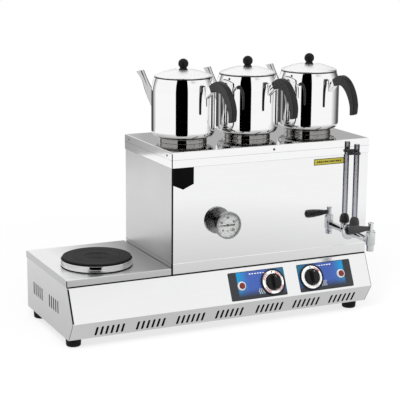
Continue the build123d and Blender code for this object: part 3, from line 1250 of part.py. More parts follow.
# Hooked grip: its side view between two flat cheeks, then rounded all over
with BuildPart() as pot_grip:
    with BuildSketch(Plane.XZ):
        with BuildLine():
            Spline(GRIP_ROOT_TOP, *GRIP_OUTER)
            Line(GRIP_OUTER[-1], GRIP_INNER[0])
            Spline(*GRIP_INNER, GRIP_ROOT_BOTTOM)
            Line(GRIP_ROOT_BOTTOM, GRIP_ROOT_TOP)
        make_face()
    extrude(amount=GRIP_WIDTH / 2, both=True)
    fillet(pot_grip.edges().filter_by(Axis.Y).group_by(Axis.Z)[0], radius=GRIP_ROUND)
    fillet(pot_grip.faces().filter_by(Axis.Y).edges(), radius=GRIP_ROUND)
    with BuildSketch(GRIP_ROOT):
        Rectangle(TONGUE_WIDTH + 2 * TONGUE_PLAY, BRACKET_SHEET + 2 * TONGUE_PLAY)
    extrude(amount=TONGUE_LENGTH + TONGUE_PLAY, mode=Mode.SUBTRACT)

# Lid: a shallow dome on an upright edge, hollow in the middle, with a collar inside the pot's rim
LID_SEAT = POT_RIM_HEIGHT
LID_EDGE = LID_SEAT + LID_RIM
LID_PEAK = LID_EDGE + LID_DOME
LID_TOP = LID_PEAK - LID_HOLLOW
COLLAR_RADIUS = POT_RIM_RADIUS - POT_WALL - LID_COLLAR_PLAY
COLLAR_FOOT = LID_SEAT - LID_COLLAR_DEPTH
LID_ROUND = 1.0


def dome_arc(radius, edge, peak):
    """Three points of a shallow dome: at its edge, halfway in, and where the hollow begins."""
    points = []
    for reach in (radius, (radius + LID_HOLLOW_RADIUS) / 2, LID_HOLLOW_RADIUS):
        share = reach / radius
        points.append((reach, peak - (peak - edge) * share * share))
    return points


with BuildPart() as pot_lid:
    with BuildSketch(Plane.XZ):
        with BuildLine():
            Polyline(
                (0, COLLAR_FOOT),
                (COLLAR_RADIUS, COLLAR_FOOT),
                (COLLAR_RADIUS, LID_SEAT),
                (LID_RADIUS, LID_SEAT),
                (LID_RADIUS, LID_EDGE),
            )
            outer_dome = dome_arc(LID_RADIUS, LID_EDGE, LID_PEAK)
            ThreePointArc(*outer_dome)
            Polyline(outer_dome[-1], (LID_HOLLOW_FLAT, LID_TOP), (0, LID_TOP), (0, COLLAR_FOOT))
        make_face()
    revolve(axis=Axis.Z)
    with BuildSketch(Plane.XZ):
        with BuildLine():
            inside = COLLAR_RADIUS - LID_WALL
            ceiling = LID_TOP - LID_WALL
            Polyline((0, COLLAR_FOOT), (inside, COLLAR_FOOT), (inside, LID_SEAT))
            inner_dome = dome_arc(inside, LID_SEAT, LID_PEAK - LID_WALL)
            ThreePointArc(*inner_dome)
            Polyline(inner_dome[-1], (LID_HOLLOW_FLAT, ceiling), (0, ceiling), (0, COLLAR_FOOT))
        make_face()
    revolve(axis=Axis.Z, mode=Mode.SUBTRACT)
    with Locations((0, 0, LID_TOP)):
        Hole(LID_STUD_RADIUS + LID_STUD_PLAY, depth=2 * LID_DOME)

# Ball knob on a flange, with a stud through the lid
KNOB_FLANGE_TOP = LID_TOP + LID_KNOB_FLANGE_HEIGHT
BALL_CENTRE = KNOB_FLANGE_TOP + LID_KNOB_RISE
LID_STUD_END = LID_TOP - 4 * LID_WALL
with BuildPart() as pot_lid_knob:
    with Locations((0, 0, LID_TOP)):
        Cylinder(LID_KNOB_FLANGE, LID_KNOB_FLANGE_HEIGHT, align=(Align.CENTER, Align.CENTER, Align.MIN))
    fillet(pot_lid_knob.faces().sort_by(Axis.Z)[-1].edges(), radius=LID_ROUND)
    with Locations((0, 0, KNOB_FLANGE_TOP)):
        Cylinder(LID_KNOB_NECK, LID_KNOB_RISE, align=(Align.CENTER, Align.CENTER, Align.MIN))
    with Locations((0, 0, BALL_CENTRE)):
        Sphere(LID_KNOB_BALL)
    with Locations((0, 0, LID_STUD_END)):
        Cylinder(LID_STUD_RADIUS, LID_TOP - LID_STUD_END, align=(Align.CENTER, Align.CENTER, Align.MIN))

POT_PIECES = {
    "body": pot_body,
    "bracket": pot_bracket,
    "grip": pot_grip,
    "lid": pot_lid,
    "lid_knob": pot_lid_knob,
}
for number, (centre, handle_turn) in enumerate(zip(POT_CENTRES, POT_TURNS), start=1):
    seat = Location((centre[0], centre[1], BOILER_TOP), (0, 0, -handle_turn))
    for piece_name, piece in POT_PIECES.items():
        placed = piece.part.moved(seat)
        placed.label = f"teapot_{number}_{piece_name}"
        export_step(placed, f"parts/teapot_{number}_{piece_name}.step")
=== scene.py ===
"""Tea boiler on a vented base with a hot plate and three teapots.

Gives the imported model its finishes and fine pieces, and sets up the stage and the camera.
"""

import json
import math

import bmesh
import bpy
from bpy.props import FloatProperty, FloatVectorProperty, PointerProperty
from mathutils import Matrix, Vector


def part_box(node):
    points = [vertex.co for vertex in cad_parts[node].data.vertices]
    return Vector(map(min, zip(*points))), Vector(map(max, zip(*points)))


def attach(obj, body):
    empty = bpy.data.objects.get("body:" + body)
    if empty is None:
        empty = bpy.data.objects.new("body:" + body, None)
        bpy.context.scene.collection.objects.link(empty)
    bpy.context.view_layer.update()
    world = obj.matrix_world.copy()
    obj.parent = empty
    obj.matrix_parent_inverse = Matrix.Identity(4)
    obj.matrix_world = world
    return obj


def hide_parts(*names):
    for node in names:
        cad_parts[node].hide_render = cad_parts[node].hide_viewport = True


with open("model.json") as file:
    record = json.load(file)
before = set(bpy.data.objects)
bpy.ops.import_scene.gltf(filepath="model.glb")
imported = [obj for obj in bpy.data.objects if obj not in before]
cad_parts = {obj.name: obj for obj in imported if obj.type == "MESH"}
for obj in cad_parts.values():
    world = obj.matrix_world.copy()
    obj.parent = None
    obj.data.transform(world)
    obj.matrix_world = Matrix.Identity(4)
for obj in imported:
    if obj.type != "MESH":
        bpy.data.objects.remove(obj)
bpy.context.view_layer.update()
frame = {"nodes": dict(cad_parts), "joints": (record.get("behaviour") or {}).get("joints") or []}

bl_info = {
    "name": "Tea boiler",
    "version": (1, 0, 0),
    "blender": (4, 5, 0),
    "location": "View3D > Sidebar > Tea boiler",
    "description": "Finishes and fine pieces for a packed tea boiler, with its stage",
    "category": "Object",
}

MM = 0.001
RIGHT = Vector((1, 0, 0))
FORWARD = Vector((0, -1, 0))
POT_TURNS = (66, 71, 74)      # handle of each teapot, in degrees from +x towards the front
POT_NUMBERS = (1, 2, 3)
KNOB_SIDES = ("left", "right")
BAND_OUT = 0.8                # strip along the front panel's foot, in front of its face, in millimetres
BAND_HEIGHT = 27.0
BOLDNESS = 0.035              # growth of printed figures, as a share of their size


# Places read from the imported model, in millimetres

def box_of(node):
    """Lowest and highest corner of a node."""
    low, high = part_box(node)
    return low / MM, high / MM


def middle_of(node):
    """Middle of a node's box."""
    low, high = box_of(node)
    return (low + high) / 2


def reach_of(node, direction):
    """Nearest and farthest distance of a node along a direction."""
    steps = [direction.dot(corner.co) / MM for corner in frame["nodes"][node].data.vertices]
    return min(steps), max(steps)


def joint_named(name):
    """The record's row for a joint."""
    return next(joint for joint in frame["joints"] if joint["name"] == name)


def facing(origin, out):
    """Place whose x runs to the right and whose z comes out of a face."""
    across = RIGHT
    upward = out.cross(across).normalized()
    turn = Matrix((across, upward, out)).transposed().to_4x4()
    return Matrix.Translation(origin) @ turn


def along(origin, direction):
    """Place whose z runs along a direction."""
    return Matrix.Translation(origin) @ direction.to_track_quat("Z", "Y").to_matrix().to_4x4()


def pot_place(number):
    """Place of a teapot: seat at zero, handle along x."""
    axis = middle_of(f"teapot_{number}_lid_knob")
    seat = box_of("boiler_top")[1].z
    turn = Matrix.Rotation(-math.radians(POT_TURNS[number - 1]), 4, "Z")
    return Matrix.Translation((axis.x, axis.y, seat)) @ turn


SLOPE_OUT = -Vector(joint_named("left_knob_turn")["axis"]).normalized()
SLOPE_UP = SLOPE_OUT.cross(RIGHT).normalized()


# Drawing

def arc(centre_r, centre_z, radius, start, end, steps):
    """Points of an arc in a half section; angles in degrees from the outward direction."""
    points = []
    for step in range(steps + 1):
        angle = math.radians(start + (end - start) * step / steps)
        points.append((centre_r + radius * math.cos(angle), centre_z + radius * math.sin(angle)))
    return points


def through(points, steps):
    """Smooth course through points of any dimension."""
    course = []
    last = len(points) - 1
    for index in range(last):
        before = points[max(index - 1, 0)]
        here = points[index]
        there = points[index + 1]
        after = points[min(index + 2, last)]
        for step in range(steps):
            share = step / steps
            mixed = []
            for first, second, third, fourth in zip(before, here, there, after):
                slope = third - first
                bend = 2 * first - 5 * second + 4 * third - fourth
                twist = 3 * second - first - 3 * third + fourth
                mixed.append(0.5 * (2 * second + slope * share + bend * share * share
                                    + twist * share * share * share))
            course.append(tuple(mixed))
    course.append(tuple(points[last]))
    return course


def rounded_outline(width, height, corner, steps=6):
    """Rectangle with round corners, anticlockwise."""
    points = []
    for index, (sign_x, sign_y) in enumerate(((1, 1), (-1, 1), (-1, -1), (1, -1))):
        for step in range(steps + 1):
            angle = math.radians(90 * index + 90 * step / steps)
            points.append((
                sign_x * (width / 2 - corner) + corner * math.cos(angle),
                sign_y * (height / 2 - corner) + corner * math.sin(angle),
            ))
    return points


def shrunk(outline, amount):
    """Convex outline moved inwards."""
    result = []
    count = len(outline)
    for index, point in enumerate(outline):
        before = outline[index - 1]
        after = outline[(index + 1) % count]
        run = Vector((after[0] - before[0], after[1] - before[1])).normalized()
        result.append((point[0] - amount * run.y, point[1] + amount * run.x))
    return result


class Shape:
    """Mesh being drawn, in millimetres, with a finish number for each face."""

    def __init__(self):
        self.mesh = bmesh.new()

    def face(self, corners, finish):
        made = self.mesh.faces.new(corners)
        made.material_index = finish

    def skin(self, rings, place=Matrix(), finish=0, loop=False):
        """Quads through rings with the same number of points; a ring of one point is a pole."""
        rows = [[self.mesh.verts.new(place @ Vector(point)) for point in ring] for ring in rings]
        pairs = list(zip(rows, rows[1:]))
        if loop:
            pairs.append((rows[-1], rows[0]))
        for lower, upper in pairs:
            count = max(len(lower), len(upper))
            for index in range(count):
                after = (index + 1) % count
                if len(lower) == 1:
                    self.face((lower[0], upper[after], upper[index]), finish)
                elif len(upper) == 1:
                    self.face((lower[index], lower[after], upper[0]), finish)
                else:
                    self.face((lower[index], lower[after], upper[after], upper[index]), finish)
        if not loop:
            for end in (list(reversed(rows[0])), rows[-1]):
                if len(end) > 2:
                    self.face(end, finish)

    def lathe(self, profile, place=Matrix(), finish=0, steps=96, loop=False):
        """Turned form about z from (radius, height) points."""
        rings = []
        for radius, height in profile:
            if radius < 1e-6:
                rings.append([(0, 0, height)])
                continue
            ring = []
            for step in range(steps):
                angle = 2 * math.pi * step / steps
                ring.append((radius * math.cos(angle), radius * math.sin(angle), height))
            rings.append(ring)
        self.skin(rings, place, finish, loop=loop)

    def slab(self, outline, low, high, place=Matrix(), finish=0, rounding=0.0, steps=4):
        """Plate from a convex outline, with a rounded upper edge."""
        rings = [[(x, y, low) for x, y in outline]]
        if rounding:
            for step in range(steps + 1):
                angle = math.pi / 2 * step / steps
                drawn = shrunk(outline, rounding * (1 - math.cos(angle)))
                rings.append([(x, y, high - rounding * (1 - math.sin(angle))) for x, y in drawn])
        else:
            rings.append([(x, y, high) for x, y in outline])
        self.skin(rings, place, finish)

    def band(self, inner, outer, start, end, low, high, place, finish=0, steps=48):
        """Printed arc, clockwise from the top in degrees; radii are (at start, at end)."""
        rings = []
        for step in range(steps + 1):
            share = step / steps
            angle = math.radians(start + (end - start) * share)
            near = inner[0] + (inner[1] - inner[0]) * share
            far = outer[0] + (outer[1] - outer[0]) * share
            sine = math.sin(angle)
            cosine = math.cos(angle)
            rings.append([
                (near * sine, near * cosine, low),
                (far * sine, far * cosine, low),
                (far * sine, far * cosine, high),
                (near * sine, near * cosine, high),
            ])
        self.skin(rings, place, finish)

    def words(self, text, size, low, high, place, finish=0):
        """Raised figures, centred."""
        curve = bpy.data.curves.new("figures", "FONT")
        curve.body = text
        curve.size = size
        curve.align_x = "CENTER"
        curve.align_y = "CENTER"
        curve.resolution_u = 3
        curve.extrude = (high - low) / 2
        curve.offset = size * BOLDNESS
        holder = bpy.data.objects.new("figures", curve)
        figures = bpy.data.meshes.new_from_object(holder)
        figures.transform(place @ Matrix.Translation((0, 0, (low + high) / 2)))
        for polygon in figures.polygons:
            polygon.material_index = finish
        self.mesh.from_mesh(figures)
        bpy.data.objects.remove(holder)
        bpy.data.curves.remove(curve)
        bpy.data.meshes.remove(figures)

    def piece(self, name, finishes, body, nodes=(), sharp=32):
        """The finished piece, riding on its body and standing for its nodes."""
        bmesh.ops.recalc_face_normals(self.mesh, faces=self.mesh.faces)
        bmesh.ops.scale(self.mesh, vec=(MM, MM, MM), verts=self.mesh.verts)
        mesh = bpy.data.meshes.new(name)
        self.mesh.to_mesh(mesh)
        self.mesh.free()
        for finish in finishes:
            mesh.materials.append(bpy.data.materials[finish])
        mesh.shade_smooth()
        mesh.set_sharp_from_angle(angle=math.radians(sharp))
        made = bpy.data.objects.new(name, mesh)
        bpy.context.scene.collection.objects.link(made)
        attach(made, body)
        if nodes:
            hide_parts(*nodes)


# Finishes

# Shared effects: name, detail of the noise, and the two levels that its mask lies between
EFFECTS = (
    ("Brushing", 3.0, 0.35, 0.65),        # fine parallel scratches left by the polishing belt
    ("Wiping marks", 4.0, 0.38, 0.68),    # broad cloudy patches
    ("Grit", 2.0, 0.3, 0.7),              # fine even grain of cast or moulded surfaces
)
# Depths and pitch in metres
SCRATCH_DEPTH = 0.00004
GRAIN_DEPTH = 0.00006
CAST_DEPTH = 0.0001
CAST_RING_PITCH = 0.0016

PAINTED_SHADE_SHARE = 0.45
JOINT_PAINTED_SHADE = (0.02, 0.02, 0.02)
FOOT_PAINTED_SHADE = (0.29, 0.285, 0.278)


def make_effect(name, detail, low, high):
    """Shared effect: noise over the object's own coordinates, stretched by an input, and a mask of it."""
    group = bpy.data.node_groups.new(name, "ShaderNodeTree")
    group.interface.new_socket("Stretch", in_out="INPUT", socket_type="NodeSocketVector")
    group.interface.new_socket("Height", in_out="OUTPUT", socket_type="NodeSocketFloat")
    group.interface.new_socket("Mask", in_out="OUTPUT", socket_type="NodeSocketFloat")
    start = group.nodes.new("NodeGroupInput")
    end = group.nodes.new("NodeGroupOutput")
    place = group.nodes.new("ShaderNodeTexCoord")
    stretch = group.nodes.new("ShaderNodeVectorMath")
    stretch.operation = "MULTIPLY"
    noise = group.nodes.new("ShaderNodeTexNoise")
    noise.inputs["Scale"].default_value = 1.0
    noise.inputs["Detail"].default_value = detail
    spread = group.nodes.new("ShaderNodeMapRange")
    spread.inputs["From Min"].default_value = low
    spread.inputs["From Max"].default_value = high
    group.links.new(place.outputs["Object"], stretch.inputs[0])
    group.links.new(start.outputs["Stretch"], stretch.inputs[1])
    group.links.new(stretch.outputs[0], noise.inputs["Vector"])
    group.links.new(noise.outputs["Fac"], end.inputs["Height"])
    group.links.new(noise.outputs["Fac"], spread.inputs["Value"])
    group.links.new(spread.outputs["Result"], end.inputs["Mask"])


class Finish:
    """A material being wired around one Principled shader."""

    def __init__(self, name):
        self.material = bpy.data.materials.new(name)
        self.material.use_nodes = True
        self.tree = self.material.node_tree
        self.tree.nodes.clear()
        self.output = self.node("ShaderNodeOutputMaterial")
        self.shader = self.node("ShaderNodeBsdfPrincipled")
        self.link(self.shader.outputs["BSDF"], self.output.inputs["Surface"])

    def node(self, kind, **settings):
        made = self.tree.nodes.new(kind)
        for name, value in settings.items():
            setattr(made, name, value)
        return made

    def link(self, source, target):
        self.tree.links.new(source, target)

    def set(self, **values):
        """Plain values on the shader's own sockets."""
        for name, value in values.items():
            self.shader.inputs[name.replace("_", " ")].default_value = value

    def effect(self, name, stretch):
        """One of the shared effects, with its own stretch."""
        made = self.node("ShaderNodeGroup", node_tree=bpy.data.node_groups[name])
        made.inputs["Stretch"].default_value = stretch
        return made

    def blend(self, mask, dark, light):
        """Colour between two, by a mask."""
        mix = self.node("ShaderNodeMix", data_type="RGBA")
        self.link(mask, mix.inputs["Factor"])
        for socket, colour in ((mix.inputs[6], dark), (mix.inputs[7], light)):
            if isinstance(colour, bpy.types.NodeSocket):
                self.link(colour, socket)
            else:
                socket.default_value = (*colour, 1.0)
        return mix.outputs[2]

    def span(self, value, low, high, start=0.0, end=1.0):
        """A value carried from one range to another."""
        node = self.node("ShaderNodeMapRange")
        node.inputs["From Min"].default_value = start
        node.inputs["From Max"].default_value = end
        node.inputs["To Min"].default_value = low
        node.inputs["To Max"].default_value = high
        self.link(value, node.inputs["Value"])
        return node.outputs["Result"]

    def bump(self, height, strength, distance):
        """Relief from a height."""
        node = self.node("ShaderNodeBump")
        node.inputs["Strength"].default_value = strength
        node.inputs["Distance"].default_value = distance
        self.link(height, node.inputs["Height"])
        self.link(node.outputs["Normal"], self.shader.inputs["Normal"])

    def to(self, name, value):
        self.link(value, self.shader.inputs[name])


def scaled(colour, share):
    return tuple(channel * share for channel in colour)


def steel(name, tint, rough, stretch, relief, contrast=0.05, level=None, painted_shade_span=None, edges=None, heat=None):
    """Stainless sheet: brushed along one way, with cloudy wiping marks.

    level is the tint of faces that look up, a painted difference of shade between tops and sides, and
    painted_shade_span the two places along x between which those faces darken into painted shade.
    edges are the two sizes of the normal's x between which a face turns black, a painted shade standing for
    the dark line of a joint.
    heat is the two heights between which a painted shade at the foot fades out.
    """
    finish = Finish(name)
    finish.set(Metallic=1.0)
    brushing = finish.effect("Brushing", stretch)
    marks = finish.effect("Wiping marks", (7.0, 7.0, 7.0))
    shade = finish.blend(brushing.outputs["Mask"], scaled(tint, 1 - contrast), tint)
    place = finish.node("ShaderNodeTexCoord")
    parts = finish.node("ShaderNodeSeparateXYZ")
    finish.link(place.outputs["Normal"], parts.inputs[0])
    spot = finish.node("ShaderNodeSeparateXYZ")
    finish.link(place.outputs["Object"], spot.inputs[0])
    # Faces that look up take their own tint: a painted difference of shade between tops and sides.
    if level:
        upward = finish.span(parts.outputs["Z"], 0.0, 1.0, 0.5, 0.9)
        upward_painted_tint = finish.blend(brushing.outputs["Mask"], scaled(level, 1 - contrast), level)
        # Painted shade: upward faces darken along x, standing for the boiler's reflection in the deck.
        if painted_shade_span:
            across = finish.span(spot.outputs["X"], 0.0, 1.0, painted_shade_span[0] * MM, painted_shade_span[1] * MM)
            upward_painted_tint = finish.blend(across, upward_painted_tint, scaled(level, PAINTED_SHADE_SHARE))
        shade = finish.blend(upward, shade, upward_painted_tint)
    # Painted shade: the sheet's cut edges, picked by their normal's x, turn black to draw the dark lines of
    # its joints.
    if edges:
        sideways = finish.node("ShaderNodeMath", operation="ABSOLUTE")
        finish.link(parts.outputs["X"], sideways.inputs[0])
        shade = finish.blend(finish.span(sideways.outputs[0], 0.0, 1.0, *edges), shade, JOINT_PAINTED_SHADE)
    # Painted shade: the foot darkens below the given heights, standing for the shade under the belly and the
    # dark things it mirrors.
    if heat:
        foot_shade_mask = finish.span(spot.outputs["Z"], 1.0, 0.0, heat[0] * MM, heat[1] * MM)
        shade = finish.blend(foot_shade_mask, shade, FOOT_PAINTED_SHADE)
    finish.to("Base Color", shade)
    finish.to("Roughness", finish.span(marks.outputs["Mask"], rough[0], rough[1]))
    finish.bump(brushing.outputs["Height"], relief, SCRATCH_DEPTH)


def moulded(name, colour, rough, grain, relief, shine):
    """Moulded plastic or rubber with a fine grain."""
    finish = Finish(name)
    grit = finish.effect("Grit", (grain, grain, grain))
    marks = finish.effect("Wiping marks", (16.0, 16.0, 16.0))
    finish.to("Base Color", finish.blend(marks.outputs["Mask"], scaled(colour, 0.8), scaled(colour, 1.15)))
    finish.to("Roughness", finish.span(grit.outputs["Mask"], rough[0], rough[1]))
    finish.bump(grit.outputs["Height"], relief, GRAIN_DEPTH)
    finish.set(Specular_IOR_Level=shine)


def printed(name, colour, rough=0.35, shine=0.3):
    """Printing ink or enamel, slightly uneven."""
    finish = Finish(name)
    grit = finish.effect("Grit", (1500.0, 1500.0, 1500.0))
    finish.to("Base Color", finish.blend(grit.outputs["Mask"], scaled(colour, 0.94), colour))
    finish.set(Roughness=rough, Specular_IOR_Level=shine)


def glass(name, tint, rough, rim):
    """Clear glass or plastic; rim is its tint where it is seen edge on, a painted shade for the dark edges of
    the glass.
    """
    finish = Finish(name)
    marks = finish.effect("Wiping marks", (20.0, 20.0, 20.0))
    finish.set(Metallic=0.0, Transmission_Weight=1.0, IOR=1.48)
    glance = finish.node("ShaderNodeLayerWeight")
    painted_edge_shade = finish.span(glance.outputs["Facing"], 0.0, 1.0, 0.03, 0.5)
    finish.to("Base Color", finish.blend(painted_edge_shade, tint, rim))
    finish.to("Roughness", finish.span(marks.outputs["Mask"], rough[0], rough[1]))
    clear = finish.node("ShaderNodeBsdfTransparent")
    path = finish.node("ShaderNodeLightPath")
    mix = finish.node("ShaderNodeMixShader")
    finish.link(path.outputs["Is Shadow Ray"], mix.inputs["Fac"])
    finish.link(finish.shader.outputs["BSDF"], mix.inputs[1])
    finish.link(clear.outputs[0], mix.inputs[2])
    finish.link(mix.outputs[0], finish.output.inputs["Surface"])


def cast_iron(name, colour, axis):
    """Black cast plate with turned rings about its axis."""
    finish = Finish(name)
    place = finish.node("ShaderNodeTexCoord")
    centre = finish.node("ShaderNodeVectorMath", operation="SUBTRACT")
    centre.inputs[1].default_value = (axis.x * MM, axis.y * MM, 0.0)
    flatten = finish.node("ShaderNodeVectorMath", operation="MULTIPLY")
    flatten.inputs[1].default_value = (1.0, 1.0, 0.0)
    length = finish.node("ShaderNodeVectorMath", operation="LENGTH")
    wave = finish.node("ShaderNodeMath", operation="SINE")
    pitch = finish.node("ShaderNodeMath", operation="MULTIPLY")
    pitch.inputs[1].default_value = 2 * math.pi / CAST_RING_PITCH
    finish.link(place.outputs["Object"], centre.inputs[0])
    finish.link(centre.outputs[0], flatten.inputs[0])
    finish.link(flatten.outputs[0], length.inputs[0])
    finish.link(length.outputs["Value"], pitch.inputs[0])
    finish.link(pitch.outputs[0], wave.inputs[0])
    grit = finish.effect("Grit", (700.0, 700.0, 700.0))
    marks = finish.effect("Wiping marks", (14.0, 14.0, 14.0))
    relief = finish.node("ShaderNodeMath", operation="MULTIPLY_ADD")
    relief.inputs[1].default_value = 0.18
    finish.link(wave.outputs[0], relief.inputs[0])
    finish.link(grit.outputs["Height"], relief.inputs[2])
    finish.bump(relief.outputs[0], 0.35, CAST_DEPTH)
    finish.to("Base Color", finish.blend(marks.outputs["Mask"], scaled(colour, 0.75), scaled(colour, 1.2)))
    finish.to("Roughness", finish.span(grit.outputs["Mask"], 0.42, 0.6))
    finish.set(Specular_IOR_Level=0.06)


def plate_print(name, outer, inner, low, high, palette):
    """Control plate: charcoal end, cyan running into blue, dark foot.

    outer and inner are its ends along x, low and high its edges along the slope.
    """
    finish = Finish(name)
    place = finish.node("ShaderNodeTexCoord")
    parts = finish.node("ShaderNodeSeparateXYZ")
    finish.link(place.outputs["Object"], parts.inputs[0])
    across = finish.span(parts.outputs["X"], 0.0, 1.0, outer * MM, inner * MM)
    upward = finish.node("ShaderNodeVectorMath", operation="DOT_PRODUCT")
    upward.inputs[1].default_value = SLOPE_UP
    finish.link(place.outputs["Object"], upward.inputs[0])
    rise = finish.span(upward.outputs["Value"], 0.0, 1.0, low * MM, high * MM)
    ramp = finish.node("ShaderNodeValToRGB")
    blue = palette["blue"]
    charcoal = palette["charcoal"]
    stops = ((0.155, palette["cyan"]), (0.34, blue), (0.72, blue), (0.97, palette["teal"]))
    while len(ramp.color_ramp.elements) < len(stops):
        ramp.color_ramp.elements.new(0.5)
    for element, (position, colour) in zip(ramp.color_ramp.elements, stops):
        element.position = position
        element.color = (*colour, 1.0)
    finish.link(across, ramp.inputs["Fac"])
    shadow = finish.span(rise, 0.55, 0.0, 0.1, 0.75)
    deeper = finish.blend(shadow, ramp.outputs["Color"], blue)
    foot = finish.span(rise, 1.0, 0.0, 0.1, 0.36)
    grit = finish.effect("Grit", (1100.0, 1100.0, 1100.0))
    dark = finish.blend(grit.outputs["Mask"], scaled(charcoal, 0.5), scaled(charcoal, 1.7))
    field = finish.blend(foot, deeper, dark)
    field = finish.blend(finish.span(across, 1.0, 0.0, 0.135, 0.15), field, dark)
    edge = finish.node("ShaderNodeMath", operation="PINGPONG")
    edge.inputs[1].default_value = 0.5
    finish.link(rise, edge.inputs[0])
    border = finish.span(edge.outputs[0], 1.0, 0.0, 0.012, 0.03)
    framed = finish.blend(border, field, scaled(charcoal, 0.4))
    speckle = finish.span(grit.outputs["Mask"], 0.0, 0.35, 0.35, 1.0)
    finish.to("Base Color", finish.blend(speckle, framed, (0.02, 0.03, 0.05)))
    finish.set(Roughness=0.4, Specular_IOR_Level=0.25)


def dress(node, finish):
    """Give a CAD node a finish through its own slots."""
    for slot in frame["nodes"][node].material_slots:
        slot.material = bpy.data.materials[finish]


# What a user may change

class TeaBoilerFinishes(bpy.types.PropertyGroup):
    """Colours of the tea boiler"""

    polished: FloatVectorProperty(
        name="Polished steel", description="Tint of the mirror polished sheet", subtype="COLOR",
        min=0.0, max=1.0, default=(0.9, 0.9, 0.905))
    satin: FloatVectorProperty(
        name="Satin steel", description="Tint of the brushed sheet", subtype="COLOR",
        min=0.0, max=1.0, default=(0.8, 0.8, 0.805))
    chrome: FloatVectorProperty(
        name="Chrome", description="Tint of the plated tap", subtype="COLOR",
        min=0.0, max=1.0, default=(0.76, 0.77, 0.78))
    plastic: FloatVectorProperty(
        name="Black plastic", description="Handles, knobs and lever", subtype="COLOR",
        min=0.0, max=1.0, default=(0.016, 0.016, 0.017))
    casting: FloatVectorProperty(
        name="Cast plate", description="Hot plate", subtype="COLOR",
        min=0.0, max=1.0, default=(0.013, 0.013, 0.014))
    rubber: FloatVectorProperty(
        name="Rubber", description="Feet and seals", subtype="COLOR",
        min=0.0, max=1.0, default=(0.01, 0.01, 0.011))
    blue: FloatVectorProperty(
        name="Plate blue", description="Middle of the control plates", subtype="COLOR",
        min=0.0, max=1.0, default=(0.045, 0.095, 0.34))
    cyan: FloatVectorProperty(
        name="Plate cyan", description="Bright end of the control plates", subtype="COLOR",
        min=0.0, max=1.0, default=(0.0, 0.25, 0.5))
    lamp: FloatVectorProperty(
        name="Pilot lamp", description="Lens of the pilot lamps", subtype="COLOR",
        min=0.0, max=1.0, default=(0.16, 0.026, 0.022))
    strip: FloatVectorProperty(
        name="Level strip", description="Strip beside the level gauge", subtype="COLOR",
        min=0.0, max=1.0, default=(0.38, 0.33, 0.04))


class TeaBoilerSizes(bpy.types.PropertyGroup):
    """Sizes of the fine pieces"""

    print_thickness: FloatProperty(
        name="Print", description="Thickness of printed marks", subtype="DISTANCE", unit="LENGTH",
        min=0.00002, max=0.001, default=0.00012)
    badge_thickness: FloatProperty(
        name="Badge", description="Thickness of the bare badge plate", subtype="DISTANCE", unit="LENGTH",
        min=0.0002, max=0.003, default=0.0008)
    strip_thickness: FloatProperty(
        name="Strip", description="Thickness of the level strip", subtype="DISTANCE", unit="LENGTH",
        min=0.0001, max=0.002, default=0.0003)


class TeaBoilerStage(bpy.types.PropertyGroup):
    """Light and floor"""

    floor: FloatVectorProperty(
        name="Floor", description="Colour of the floor", subtype="COLOR",
        min=0.0, max=1.0, default=(0.88, 0.88, 0.88))
    surround: FloatProperty(
        name="Surround", description="Soft light from all round", min=0.0, max=2.0, default=0.62)
    key: FloatProperty(
        name="Key", description="Power of the large lamp", subtype="POWER", unit="POWER",
        min=0.0, max=2000.0, default=95.0)


def colours():
    return bpy.context.scene.tea_boiler_finishes


def sizes():
    return bpy.context.scene.tea_boiler_sizes


# Operators

